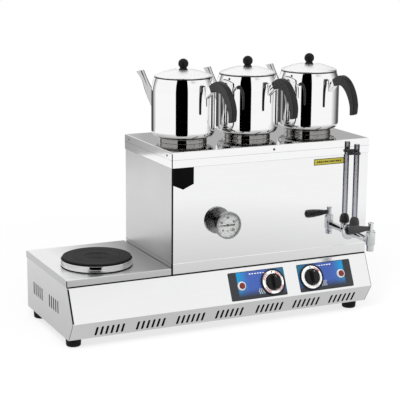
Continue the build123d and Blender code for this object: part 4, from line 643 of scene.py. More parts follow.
class TEABOILER_OT_finishes(bpy.types.Operator):
    """Make the shared effects and the finishes"""

    bl_idname = "tea_boiler.finishes"
    bl_label = "Finishes"

    def execute(self, context):
        for effect in EFFECTS:
            make_effect(*effect)
        pick = colours()
        polished = tuple(pick.polished)
        satin = tuple(pick.satin)
        plastic = tuple(pick.plastic)
        rubber = tuple(pick.rubber)
        lamp = tuple(pick.lamp)
        seat = box_of("boiler_top")[1].z
        deck_low, deck_high = box_of("hotplate_deck")
        spun = (3.0, 3.0, 260.0)
        along_front = (5.0, 700.0, 700.0)
        along_side = (900.0, 7.0, 900.0)
        steel("Mirror front", polished, rough=(0.03, 0.06), stretch=(6.0, 500.0, 500.0), relief=0.02,
              contrast=0.015)
        steel("Spun mirror", scaled(polished, 1.04), rough=(0.015, 0.04), stretch=spun, relief=0.012,
              contrast=0.02)
        # The pots' feet darken with painted shade.
        steel("Pot mirror", scaled(polished, 1.04), rough=(0.004, 0.014), stretch=spun, relief=0.012,
              contrast=0.02, heat=(seat + 15.0, seat + 31.0))
        # Spouts take a darker copy of the pot steel: painted shade for their darker reflections.
        steel("Spout steel", scaled(polished, 0.64), rough=(0.05, 0.09), stretch=(60.0, 60.0, 160.0),
              relief=0.012, contrast=0.02)
        steel("Spun lid", scaled(polished, 1.1), rough=(0.34, 0.4), stretch=(60.0, 60.0, 20.0), relief=0.004,
              contrast=0.01)
        steel("Plate rim", scaled(polished, 0.8), rough=(0.02, 0.05), stretch=spun, relief=0.012,
              contrast=0.02)
        # The deck's fronts are a darker copy of its tops, and its tops darken towards the boiler: painted
        # shade.
        steel("Polished deck", scaled(polished, 0.74), rough=(0.34, 0.42), stretch=along_front, relief=0.04,
              level=scaled(polished, 1.05), painted_shade_span=(deck_low.x + 50.0, deck_high.x - 20.0))
        steel("Polished cover", scaled(polished, 1.03), rough=(0.04, 0.08), stretch=(5.0, 600.0, 600.0),
              relief=0.03, contrast=0.02, level=polished)
        # The base sheet's cut edges are painted black: painted shade for the joint lines.
        steel("Polished base", scaled(polished, 0.98), rough=(0.12, 0.18), stretch=along_front, relief=0.02,
              contrast=0.015, edges=(0.4, 0.7))
        # The side sheets' cut edges are painted black too: painted shade for the joint lines.
        steel("Brushed side", satin, rough=(0.3, 0.36), stretch=along_side, relief=0.06, contrast=0.03,
              edges=(0.6, 0.3))
        steel("Brushed jacket", scaled(satin, 0.87), rough=(0.3, 0.36), stretch=along_side, relief=0.06,
              contrast=0.03, edges=(0.6, 0.3))
        steel("Brushed back", satin, rough=(0.28, 0.38), stretch=(7.0, 900.0, 900.0), relief=0.1,
              contrast=0.06)
        steel("Inner steel", scaled(satin, 0.9), rough=(0.35, 0.45), stretch=(300.0, 300.0, 300.0),
              relief=0.1, contrast=0.08)
        # Black steel: painted shade, used for the dark line of the bead under each lid and for the dark
        # hairlines.
        steel("Painted shade steel", (0.03, 0.03, 0.032), rough=(0.25, 0.35), stretch=(60.0, 60.0, 300.0), relief=0.03,
              contrast=0.1)
        steel("Chrome plate", tuple(pick.chrome), rough=(0.03, 0.07), stretch=(60.0, 60.0, 60.0), relief=0.01,
              contrast=0.02)
        steel("Brass", (0.6, 0.42, 0.16), rough=(0.25, 0.35), stretch=(300.0, 300.0, 300.0), relief=0.1,
              contrast=0.08)
        steel("Dark bezel", (0.33, 0.33, 0.335), rough=(0.18, 0.26), stretch=(80.0, 80.0, 80.0), relief=0.03)
        moulded("Handle plastic", scaled(plastic, 1.6), rough=(0.3, 0.42), grain=1400.0, relief=0.1,
                shine=0.34)
        # Darker copy of the handle plastic for the grips' top and under faces: painted shade.
        moulded("Handle painted shade", scaled(plastic, 0.7), rough=(0.35, 0.45), grain=1400.0, relief=0.1, shine=0.16)
        moulded("Gloss plastic", scaled(plastic, 0.5), rough=(0.14, 0.24), grain=1800.0, relief=0.04,
                shine=0.22)
        moulded("Ball plastic", scaled(plastic, 0.4), rough=(0.2, 0.3), grain=1800.0, relief=0.04, shine=0.12)
        moulded("Foot rubber", rubber, rough=(0.55, 0.75), grain=800.0, relief=0.25, shine=0.15)
        # Black rubber: sealant, and painted shade in the joints and behind the vents.
        moulded("Sealant and painted shade", scaled(rubber, 0.6), rough=(0.5, 0.7), grain=900.0, relief=0.15, shine=0.08)
        printed("Dial white", (0.92, 0.92, 0.9))
        printed("Scale white", (0.61, 0.61, 0.6))
        printed("Lamp ring", (0.62, 0.6, 0.61), rough=0.3)
        printed("Ink black", (0.012, 0.012, 0.013), rough=0.45, shine=0.15)
        printed("Ink white", (0.8, 0.8, 0.8), rough=0.4)
        printed("Ink pale", (0.45, 0.47, 0.42), rough=0.4)
        printed("Ink red", (0.38, 0.05, 0.06), rough=0.4, shine=0.2)
        printed("Badge enamel", (0.003, 0.003, 0.003), rough=0.3, shine=0.02)
        printed("Strip yellow", tuple(pick.strip), rough=0.4, shine=0.2)
        glass("Clear glass", (0.97, 0.98, 0.98), rough=(0.0, 0.01), rim=(0.9, 0.92, 0.92))
        # Its near-black rim paints the tube's dark edges.
        glass("Gauge glass", (0.78, 0.78, 0.83), rough=(0.0, 0.015), rim=(0.02, 0.02, 0.025))
        cast_iron("Cast plate", tuple(pick.casting), middle_of("hotplate_casting"))
        lens = Finish("Lamp lens")
        grit = lens.effect("Grit", (500.0, 500.0, 500.0))
        lens.to("Base Color", lens.blend(grit.outputs["Mask"], scaled(lamp, 0.8), lamp))
        lens.set(Roughness=0.3, Specular_IOR_Level=0.3)
        return {"FINISHED"}


class TEABOILER_OT_sheet_metal(bpy.types.Operator):
    """Dress the folded sheets of the base and the boiler"""

    bl_idname = "tea_boiler.sheet_metal"
    bl_label = "Sheet metal"

    def execute(self, context):
        dressing = {
            "Mirror front": ("boiler_front_panel",),
            "Polished cover": ("boiler_top",),
            "Polished deck": ("hotplate_deck",),
            "Polished base": ("base_front_panel",),
            "Brushed side": ("base_left_side", "base_right_side"),
            "Brushed jacket": ("boiler_left_panel", "boiler_right_panel"),
            "Brushed back": ("base_back_panel", "boiler_back_panel", "base_bottom_plate"),
            "Inner steel": ("boiler_floor", "water_tank", "heating_element", "hotplate_clamp",
                            "shaft_left", "shaft_right"),
            "Brass": ("element_nuts", "tap_lock_nut"),
            "Handle plastic": ("heat_regulator", "thermostat"),
        }
        for name, nodes in dressing.items():
            for node in nodes:
                dress(node, name)
        return {"FINISHED"}


class TEABOILER_OT_fasteners(bpy.types.Operator):
    """Screws of the cover, the rubber feet and the cord gland"""

    bl_idname = "tea_boiler.fasteners"
    bl_label = "Screws, feet and gland"

    def screws(self):
        low, high = box_of("boiler_top")
        height = middle_of("cover_screws").z
        inset = 30.0
        middle = (low.x + high.x) / 2
        places = [
            ((middle, low.y, height), FORWARD),
            ((middle, high.y, height), -FORWARD),
        ]
        for depth in (low.y + inset, high.y - inset):
            places.append(((low.x, depth, height), -RIGHT))
            places.append(((high.x, depth, height), RIGHT))
        proud = low.x - box_of("cover_screws")[0].x
        shape = Shape()
        for origin, out in places:
            place = along(Vector(origin), out)
            dome = [(3.6, 0.0)] + arc(0, proud - 3.9, 3.9, 22, 75, 6)
            dome += [(0.9, proud - 0.35), (0, proud - 0.5)]
            dome = [(radius, min(max(rise, 0.0), proud)) for radius, rise in dome]
            shape.lathe(dome, place, 0, 24)
            # Black crosses on the dome tops: painted shade for the cross recesses.
            for turn in (0, 90):
                cross = place @ Matrix.Rotation(math.radians(turn), 4, "Z")
                shape.slab(rounded_outline(4.2, 0.9, 0.2, 2), proud - 0.55, proud - 0.02, cross, 1)
        shape.piece("screw_heads", ("Dark bezel", "Ink black"), "boiler", ("cover_screws",))

    def feet(self):
        low, high = box_of("rubber_feet")
        radius = 20.5
        shape = Shape()
        profile = [(0, 1.6), (9.0, 1.6), (10.0, 0.0), (16.6, 0.0), (18.4, 1.4)]
        for step in range(4):
            base = 3.0 + 5.0 * step
            size = 18.9 + 0.3 * step
            profile += [(size, base), (size + 0.3, base + 3.6), (size - 0.4, base + 4.1),
                        (size - 0.4, base + 4.7)]
        profile += [(20.1, high.z - 2.6), (radius, high.z - 2.0), (radius, high.z), (0, high.z)]
        for x in (low.x + radius, high.x - radius):
            for y in (low.y + radius, high.y - radius):
                shape.lathe(profile, Matrix.Translation((x, y, 0)), 0, 48)
        shape.piece("ribbed_feet", ("Foot rubber",), "boiler", ("rubber_feet",))

    def execute(self, context):
        self.screws()
        self.feet()
        dress("cord_gland", "Handle plastic")
        return {"FINISHED"}


class TEABOILER_OT_joints(bpy.types.Operator):
    """Black strips of painted shade in the open joints, fine dark hairlines of painted shade and a fold, and
    black sheets of painted shade behind the vents
    """

    bl_idname = "tea_boiler.joints"
    bl_label = "Joints and screens"

    def sealant(self):
        deck_low, deck_high = box_of("hotplate_deck")
        sheet_low = box_of("boiler_front_panel")[0]
        base_low, base_high = box_of("base_front_panel")
        cover_low, cover_high = box_of("boiler_top")
        cover_foot = cover_low.z
        front = deck_low.y
        # Black strips along the open joints, a painted shade for the shadow in their gaps.
        shape = Shape()

        def seam(width, height, place, low, high):
            shape.slab(rounded_outline(width, height, 0.5, 3), low, high, place, 0, 0.2)

        gap = deck_low.z - base_high.z
        under = facing(Vector((0, front, base_high.z + gap / 2)), FORWARD)
        seam(base_high.x - base_low.x, gap + 1.0, under, -3.0, 0.3)
        rise = cover_foot - sheet_low.z
        corner = facing(Vector((sheet_low.x + 1.3, sheet_low.y, sheet_low.z + rise / 2)), FORWARD)
        seam(3.4, rise, corner, -2.6, 0.3)
        flange = cover_high.z - cover_foot - 3.0
        hem = facing(Vector((cover_low.x + 1.3, front, cover_foot + flange / 2)), FORWARD)
        seam(2.6, flange, hem, -0.4, 0.25)
        edge = deck_high.z - deck_low.z
        post = facing(Vector(((deck_high.x + sheet_low.x) / 2, front, deck_low.z + edge / 2)), FORWARD)
        seam(sheet_low.x - deck_high.x + 1.4, edge, post, -3.0, 0.1)
        end = facing(Vector((deck_low.x + 1.2, front, deck_low.z + edge / 2 - 1.0)), FORWARD)
        seam(2.4, edge - 2.0, end, -0.4, 0.25)
        slope_top = Vector((base_low.x + 1.7, front, base_high.z))
        slope = facing(slope_top - SLOPE_UP * 46.5, SLOPE_OUT)
        seam(3.4, 88.0, slope, -0.5, 0.3)
        shape.piece("painted_joint_shade", ("Sealant and painted shade",), "boiler")

    def hairlines(self):
        """Dark hairlines of painted shade for a fine groove on the cover's flange and for the gap under it,
        and the fold over the front panel's foot strip.
        """
        low, high = box_of("boiler_top")
        side_low = box_of("boiler_left_panel")[0]
        fine = 0.4
        shape = Shape()

        def crease(height, first, last):
            """Dark hair of steel, a painted shade, between two corners of a level rectangle round the boiler.
            """
            thick = 0.12
            points = [(first.x, first.y), (last.x, first.y), (last.x, last.y), (first.x, last.y)]
            rings = []
            for x, y in points:
                out_x = math.copysign(thick, x - (first.x + last.x) / 2)
                out_y = math.copysign(thick, y - (first.y + last.y) / 2)
                rings.append([(x - out_x, y - out_y, height), (x + out_x, y + out_y, height),
                              (x + out_x, y + out_y, height + fine), (x - out_x, y - out_y, height + fine)])
            shape.skin(rings, loop=True)

        # Painted shade for a fine groove on the cover's flange.
        crease(low.z + 20.0, low, high)
        panel_low, panel_high = box_of("boiler_front_panel")
        front = panel_low.y + BAND_OUT
        # Painted shadow of the gap under the cover's flange.
        crease(low.z - fine - 0.2, Vector((side_low.x, front, 0)), Vector((high.x - 1.5, high.y - 1.5, 0)))
        fold = panel_low.z + BAND_HEIGHT
        rings = []
        for x in (panel_low.x, panel_high.x):
            rings.append([(x, panel_low.y, fold - 0.4), (x, front, fold - 0.4), (x, front, fold + 0.9)])
        shape.skin(rings, finish=1)
        shape.piece("fold_and_shade_lines", ("Painted shade steel", "Spun lid"), "boiler")

    def screens(self):
        low, high = box_of("base_front_panel")
        nose = Vector((0, low.y, low.z + 50.0))
        foot = Vector((0, low.y + 32.5, low.z))
        fall = (foot - nose).normalized()
        out = fall.cross(RIGHT).normalized()
        # Black sheets behind the slots of the lip and the side vents: painted shade, so the slots read dark.
        shape = Shape()
        lip = facing(nose + fall * 34.5, out)
        shape.slab(rounded_outline(high.x - low.x - 30, 42, 2), -4.4, -3.2, lip)
        for side, step in (("left", 1), ("right", -1)):
            plate_low, plate_high = box_of(f"base_{side}_side")
            inner = plate_high.x if side == "left" else plate_low.x
            middle = (plate_low + plate_high) / 2
            shade_sheet = along(Vector((inner + 0.2 * step, middle.y + 26.0, plate_low.z + 66.0)), RIGHT * step)
            shape.slab(rounded_outline(240, 60, 2), 0, 0.8, shade_sheet)
        shape.piece("painted_vent_shade", ("Sealant and painted shade",), "boiler")

    def execute(self, context):
        self.sealant()
        self.hairlines()
        self.screens()
        return {"FINISHED"}


class TEABOILER_OT_hot_plate(bpy.types.Operator):
    """Cast plate with its turned face, and the bright rim round it"""

    bl_idname = "tea_boiler.hot_plate"
    bl_label = "Hot plate"

    def execute(self, context):
        axis = middle_of("hotplate_rim")
        low, high = box_of("hotplate_rim")
        face = box_of("hotplate_casting")[1].z
        radius = 90.0
        place = Matrix.Translation((axis.x, axis.y, 0))
        top = [(0, face - 1.0), (14, face - 1.0), (14.6, face - 1.4), (16.4, face - 1.4), (17, face - 1.0),
               (22.5, face - 1.0), (23.2, face - 0.55), (25.3, face - 0.55), (26, face - 1.0),
               (31.2, face - 1.0), (32.4, face), (60, face), (60.4, face - 0.35), (61.4, face - 0.35),
               (61.8, face)]
        edge = [(radius - 5.6, face)] + arc(radius - 2.9, face - 2.6, 2.6, 80, 0, 6)
        wall = [(radius, low.z + 1.3), (radius - 7, low.z + 1.3), (radius - 7, face - 12), (0, face - 12)]
        shape = Shape()
        shape.lathe(top + edge + wall, place, 0, 128)
        for patch in shape.mesh.faces:
            patch.material_index = int(patch.calc_center_median().z < face - 1.5)
        shape.piece("turned_plate", ("Cast plate", "Sealant and painted shade"), "boiler", ("hotplate_casting",))

        outer = high.x - axis.x
        shape = Shape()
        rim = [(outer - 9, low.z + 0.05), (outer - 0.9, low.z + 0.05), (outer - 0.9, low.z + 2.8),
               (outer - 0.1, low.z + 3.2), (outer, low.z + 4.0), (outer, high.z - 10.4),
               (outer - 0.5, high.z - 9.8), (outer - 0.5, high.z - 9.0), (outer, high.z - 8.4),
               (outer, high.z - 3.0)]
        rim += arc(outer - 1.0, high.z - 2.2, 1.0, 0, 90, 6)
        rim += [(outer - 1.8, high.z - 1.9), (outer - 1.2, high.z - 4.0), (outer - 1.2, low.z + 1.3),
                (outer - 9, low.z + 1.2)]
        shape.lathe(rim, place, 0, 160, loop=True)
        # Black ring round the rim's foot, darkening it where it meets the deck.
        dark_foot_ring = [(outer - 3.5, low.z + 0.02), (outer - 0.1, low.z + 0.02), (outer, low.z + 1.0),
                (outer - 0.15, low.z + 2.7), (outer - 3.5, low.z + 2.7)]
        shape.lathe(dark_foot_ring, place, 1, 160, loop=True)
        shape.piece("rolled_rim", ("Plate rim", "Sealant and painted shade"), "boiler", ("hotplate_rim",))
        return {"FINISHED"}


class TEABOILER_OT_teapots(bpy.types.Operator):
    """Three spun teapots with spouts, handles, lids and ball knobs"""

    bl_idname = "tea_boiler.teapots"
    bl_label = "Teapots"

    RADIUS = 84.0
    WALL = 1.2
    RIM = (75.0, 172.0)
    SHOULDER = 128.0
    CORNER = 18.0
    BELLY = 30.0

    def shoulder(self, inset):
        """Arc that draws the wall in towards the rim."""
        rise = self.RIM[1] - self.SHOULDER
        inward = self.RADIUS - self.RIM[0]
        radius = (rise * rise + inward * inward) / (2 * inward)
        swing = math.degrees(math.asin(rise / radius))
        return arc(self.RADIUS - inset - radius, self.SHOULDER, radius, 0, swing, 18)

    def body_profile(self):
        outside = [(0, -6), (54.2, -6), (55, -5.2), (55, 0), (62.8, 0), (63.7, 0.35), (64, 1.2), (64, 3.0)]
        outside += [(63.8, 4.0), (63.4, 5.4), (63.35, 6.4), (63.5, 7.6), (63.85, 8.8), (64, 9.6), (64, 10.4)]
        outside += arc(65.6, 10.4, 1.6, 180, 90, 4)
        outside += arc(self.RADIUS - self.CORNER, self.BELLY, self.CORNER, -90, 0, 14)
        outside += self.shoulder(0)
        lip = [(self.RIM[0] - 0.2, self.RIM[1]), (self.RIM[0] - self.WALL + 0.2, self.RIM[1])]
        inside = list(reversed(self.shoulder(self.WALL)))
        inside += arc(self.RADIUS - self.CORNER, self.BELLY, self.CORNER - self.WALL, 0, -90, 10)
        inside += [(62.8, 13.2), (62.8, 1.2), (53.8, 1.2), (53.8, -4.8), (0, -4.8)]
        return outside[:-1] + lip + inside

    def spout(self, shape, place):
        stations = through((
            (88.0, 86.0, 23.5, 16.5, 12.0),
            (106.0, 101.0, 15.0, 13.0, 40.0),
            (126.0, 128.0, 10.5, 10.0, 60.0),
            (140.0, 153.0, 8.2, 8.0, 58.0),
            (155.0, 173.0, 11.5, 9.5, 74.0),
        ), 7)
        count = 40

        def ring(station, inset):
            reach, height, half_height, half_width, tilt = station
            sine = math.sin(math.radians(tilt))
            cosine = math.cos(math.radians(tilt))
            points = []
            for step in range(count):
                angle = 2 * math.pi * step / count
                side = (half_width - inset) * math.cos(angle)
                drop = (half_height - inset) * math.sin(angle)
                points.append((-reach - sine * drop, side, height - cosine * drop))
            return points

        def on_wall(grow):
            points = []
            for step in range(count):
                angle = 2 * math.pi * step / count
                side = 16.8 * grow * math.cos(angle)
                points.append((
                    -math.sqrt((self.RADIUS - 0.5) ** 2 - side * side),
                    side,
                    84.0 - 24.5 * grow * math.sin(angle),
                ))
            return points

        rings = [on_wall(1.08)]
        rings += [ring(station, 0.0) for station in stations]
        tip = stations[-1]
        rings.append(ring((tip[0] + 0.25, tip[1] + 0.45, *tip[2:]), 0.35))
        rings.append(ring((tip[0] + 0.25, tip[1] + 0.45, *tip[2:]), 0.95))
        rings += [ring(station, 1.2) for station in reversed(stations)]
        shape.skin(rings, place, 2)

    def grip(self, number, place):
        outer = through(((97, 156), (122, 168), (148, 156), (167, 128), (176, 96), (174.5, 67.5)), 8)
        inner = through(((105, 138), (124, 142), (140, 132), (153, 112), (161, 88), (161.5, 64)), 8)
        count = len(outer)
        rings = []

        def ring(index, share):
            top = Vector((outer[index][0], 0, outer[index][1]))
            foot = Vector((inner[index][0], 0, inner[index][1]))
            middle = (top + foot) / 2
            half = (top - foot) / 2
            depth = half.length
            run = half.normalized()
            width = 23.0 - 2.5 * index / count
            corner = min(3.4, depth * 0.7)
            points = []
            for across, rise in rounded_outline(width * share, 2 * depth * share, corner * share, 5):
                crown = 0.35 * math.cos(math.pi * min(abs(across) / width, 0.5))
                point = middle + run * (rise + math.copysign(crown, rise))
                points.append((point.x, across, point.z))
            return points

        def between(near, far, share):
            return [tuple(Vector(start).lerp(Vector(end), share)) for start, end in zip(near, far)]

        rings.append(ring(0, 0.94))
        rings.append(between(ring(0, 1.0), ring(1, 1.0), 0.12))
        rings += [ring(index, 1.0) for index in range(1, count - 2)]
        for share, step in ((1.0, 0.25), (0.97, 0.5), (0.89, 0.72), (0.75, 0.88), (0.55, 0.97), (0.25, 1.0)):
            rings.append(between(ring(count - 3, share), ring(count - 1, share), step))
        shape = Shape()
        shape.skin(rings, place)
        shape.mesh.normal_update()
        # The grips' cheeks take the lighter plastic and their other faces a darker copy: painted light and
        # shade.
        cheek = place.to_3x3() @ Vector((0, 1, 0))
        for face in shape.mesh.faces:
            face.material_index = int(abs(face.normal.dot(cheek)) < 0.75)
        shape.piece(f"hooked_grip_{number}", ("Handle plastic", "Handle painted shade"), f"teapot_{number}",
                    (f"teapot_{number}_grip",), 50)

    def bracket(self, number, place):
        rings = []
        for step in range(9):
            share = step / 8
            ease = share * share * (3 - 2 * share)
            top = Vector((78.5, 0, 150.0)).lerp(Vector((98.4, 0, 153.9)), share)
            foot = Vector((83.2, 0, 119.0)).lerp(Vector((104.6, 0, 140.2)), ease)
            middle = (top + foot) / 2
            half = (top - foot) / 2
            run = half.normalized()
            width = 19.0 - 2.5 * ease
            points = []
            for across, rise in rounded_outline(width, 2 * half.length, 2.4, 4):
                point = middle + run * rise
                points.append((point.x, across, point.z))
            rings.append(points)
        shape = Shape()
        shape.skin(rings, place)
        shape.piece(f"pressed_bracket_{number}", ("Spun mirror",), f"teapot_{number}",
                    (f"teapot_{number}_bracket",), 40)

    def lid(self, number, place):
        radius = 75.5
        seat = self.RIM[1]
        edge = seat + 2.5
        crown = 17.0
        top = edge + 12.5
        profile = [(0, top - 1.2), (13.5, top - 1.2)]
        for step in range(4, 13):
            share = step / 12
            profile.append((71.8 * share, edge + crown - 1.2 - (crown + 1.3) * share * share))
        profile += [(71.8, seat - 9), (73, seat - 9), (73, seat)]
        profile += arc(radius - 1.2, seat + 1.25, 1.2, -85, 62, 8)
        for step in range(30, 9, -1):
            share = step / 30
            profile.append(((radius - 0.9) * share, edge + crown - (crown - 0.15) * share * share))
        profile += [(22.8, top + 2.95), (21.2, top + 2.85), (19.6, top + 2.4), (17.8, top + 1.55),
                    (16.0, top + 0.75), (14.4, top + 0.2), (13.0, top), (0, top)]
        shape = Shape()
        shape.lathe(profile, place, 0, 144)
        shape.piece(f"domed_lid_{number}", ("Spun lid",), f"teapot_{number}_lid",
                    (f"teapot_{number}_lid",))

        ball = top + 17.5
        size = 13.5
        neck = [(0, top - 4.8), (2.5, top - 4.8), (2.5, top - 0.1), (12.0, top - 0.1), (12.4, top + 0.4),
                (12.2, top + 1.3), (11.2, top + 2.8), (10.1, top + 4.4), (9.3, top + 5.8)]
        start = -math.degrees(math.acos(8.9 / size))
        neck += arc(0, ball, size, start, -3, 14)
        neck += [(size - 0.18, ball - 0.35), (size - 0.18, ball + 0.35)]
        neck += arc(0, ball, size, 3, 89, 18) + [(0, ball + size)]
        shape = Shape()
        shape.lathe(neck, place, 0, 64)
        shape.piece(f"ball_knob_{number}", ("Ball plastic",), f"teapot_{number}_lid",
                    (f"teapot_{number}_lid_knob",), 50)

    def execute(self, context):
        for number in POT_NUMBERS:
            place = pot_place(number)
            shape = Shape()
            shape.lathe(self.body_profile(), place, 0, 160)
            # The bead under the lid takes black steel, a painted shade for the dark line under the lid.
            bead = arc(self.RIM[0] - 0.3, self.RIM[1] - 2.1, 1.9, -95, 95, 10)
            bead.append((self.RIM[0] - 0.6, self.RIM[1] - 2.1))
            shape.lathe(bead, place, 1, 144, loop=True)
            self.spout(shape, place)
            shape.piece(f"spun_teapot_{number}", ("Pot mirror", "Painted shade steel", "Spout steel"),
                        f"teapot_{number}", (f"teapot_{number}_body",))
            self.bracket(number, place)
            self.grip(number, place)
            self.lid(number, place)
        return {"FINISHED"}


class TEABOILER_OT_tap(bpy.types.Operator):
    """Plated tap with its flange, cap and lever"""

    bl_idname = "tea_boiler.tap"
    bl_label = "Tap"

    def execute(self, context):
        axis = Vector(joint_named("tap_turn")["pos_m"]) / MM
        low, high = box_of("tap_body")
        shank = low.z + 29.0
        chrome = "Chrome plate"
        upright = Matrix.Translation((axis.x, axis.y, 0))
        top = shank + 24.0
        barrel = [(6.5, low.z + 0.4), (7.0, low.z), (8.9, low.z), (9.3, low.z + 0.5), (9.6, low.z + 2.0),
                  (9.9, low.z + 4.0), (10.5, shank - 13.0), (12.2, shank - 10.6), (12.8, shank - 9.4),
                  (12.8, top - 4.6), (12.2, top - 4.2), (12.2, top - 3.4), (12.8, top - 3.0),
                  (12.8, top - 1.2), (11.6, top), (8.05, top), (8.05, shank - 9.3), (6.5, shank - 9.3)]
        shape = Shape()
        shape.lathe(barrel, upright, 0, 64, loop=True)
        inward = along(Vector((axis.x, axis.y, shank)), -FORWARD)
        wall = box_of("boiler_top")[0].y - axis.y
        tail = high.y - axis.y
        pipe = [(5.8, 12.0), (9.0, 12.0), (10.4, 14.5), (10.4, 17.5), (9.5, 19.5), (9.5, wall - 34),
                (10.3, wall - 33), (10.3, wall - 30), (9.5, wall - 29), (9.5, tail), (5.8, tail)]
        shape.lathe(pipe, inward, 0, 64, loop=True)
        glass_axis = middle_of("gauge_glass")
        boss_top = box_of("gauge_glass")[0].z
        boss = [(4.0, shank + 8.0), (9.0, shank + 8.0), (8.8, shank + 12.0), (10.2, shank + 14.0),
                (10.2, boss_top - 4.0), (8.8, boss_top - 2.5), (8.8, boss_top), (4.0, boss_top)]
        shape.lathe(boss, Matrix.Translation((glass_axis.x, glass_axis.y, 0)), 0, 48, loop=True)
        shape.piece("plated_tap", (chrome,), "boiler", ("tap_body",))

        flange_low, flange_high = box_of("tap_flange")
        depth = flange_high.y - flange_low.y
        outside = along(Vector((axis.x, flange_high.y, shank)), FORWARD)
        rose = [(9.8, 0.0), (21.6, 0.0)] + arc(20.8, 0.9, 1.2, -20, 70, 6)
        rose += [(18.5, depth * 0.62), (15.0, depth * 0.78), (12.6, depth), (9.8, depth)]
        shape = Shape()
        shape.lathe(rose, outside, 0, 72, loop=True)
        shape.piece("tap_rose", (chrome,), "boiler", ("tap_flange",))

        cap_low, cap_high = box_of("tap_cap")
        cap = [(0, cap_low.z), (7.2, cap_low.z), (7.6, cap_low.z + 0.5), (7.6, cap_low.z + 2.6)]
        cap += arc(5.2, cap_low.z + 3.4, 2.4, 0, 80, 6) + [(2.4, cap_high.z - 0.05), (0, cap_high.z)]
        shape = Shape()
        shape.lathe(cap, upright, 0, 48)
        shape.piece("domed_cap", (chrome,), "tap_lever", ("tap_cap",))

        course = through(((8.5, 6.0), (18.0, 6.9), (34.0, 9.3), (52.0, 11.0), (66.0, 11.3), (73.0, 10.6)), 6)
        lever = [(3.2, 8.5), (4.6, 8.5)] + [(radius, reach) for reach, radius in course]
        lever += [(9.9, 73.8), (8.6, 74.0), (7.2, 73.7), (6.6, 72.6), (6.4, 66.0), (0, 65.0)]
        shape = Shape()
        shape.lathe([(0, 34.2), (3.2, 34.2), *lever], along(axis, -RIGHT), 0, 56)
        shape.piece("lever_grip", ("Handle plastic",), "tap_lever", ("tap_grip",), 45)
        dress("tap_plug", chrome)
        return {"FINISHED"}


class TEABOILER_OT_gauge(bpy.types.Operator):
    """Level gauge: glass tube, ribbed gland and clip"""

    bl_idname = "tea_boiler.gauge"
    bl_label = "Level gauge"

    def execute(self, context):
        axis = middle_of("gauge_glass")
        low, high = box_of("gauge_glass")
        place = Matrix.Translation((axis.x, axis.y, 0))
        outer = 7.5
        inner = 5.5
        tube = [(inner, low.z), (outer, low.z), (outer, high.z - 0.8), (outer - 0.35, high.z - 0.2),
                (outer - 1.0, high.z), (inner + 0.35, high.z - 0.2), (inner, high.z - 0.8)]
        shape = Shape()
        shape.lathe(tube, place, 0, 64, loop=True)
        shape.piece("level_tube", ("Gauge glass",), "boiler", ("gauge_glass",))

        gland_low, gland_high = box_of("gauge_gland")
        height = gland_high.z - gland_low.z
        count = 96
        rings = []
        for radius, rise, ribs in ((7.7, 0.0, 0), (12.6, 0.0, 0), (13.0, 0.6, 0.35), (13.1, 4.0, 0.4),
                                   (13.0, 9.0, 0.4), (12.7, 13.0, 0.3), (12.0, 16.5, 0.1), (11.0, 19.4, 0),
                                   (9.6, 22.2, 0), (8.5, height - 0.4, 0), (7.7, height, 0)):
            ring = []
            for step in range(count):
                angle = 2 * math.pi * step / count
                size = radius + ribs * math.cos(12 * angle)
                ring.append((size * math.cos(angle), size * math.sin(angle), gland_low.z + rise))
            rings.append(ring)
        shape = Shape()
        shape.skin(rings, place, loop=True)
        shape.piece("ribbed_gland", ("Handle plastic",), "boiler", ("gauge_gland",), 50)

        clip_low, clip_high = box_of("gauge_clip")
        level = (clip_low.z + clip_high.z) / 2
        shape = Shape()
        foot = facing(Vector((axis.x, clip_high.y, level)), FORWARD)
        shape.slab(rounded_outline(26, 16, 4), 0, 3, foot, 0, 1.0)
        arm = facing(Vector((axis.x, clip_high.y - 2.0, level)), FORWARD)
        reach = clip_high.y - axis.y - 8.2
        shape.slab(rounded_outline(11, 5, 1.4), 0, reach, arm, 0)
        collar = [(7.75, level - 3.0), (10.0, level - 3.0), (10.6, level - 2.3), (10.6, level + 2.3),
                  (10.0, level + 3.0), (7.75, level + 3.0)]
        shape.lathe(collar, place, 0, 48, loop=True)
        shape.piece("tube_clip", ("Handle plastic",), "boiler", ("gauge_clip",))
        return {"FINISHED"}


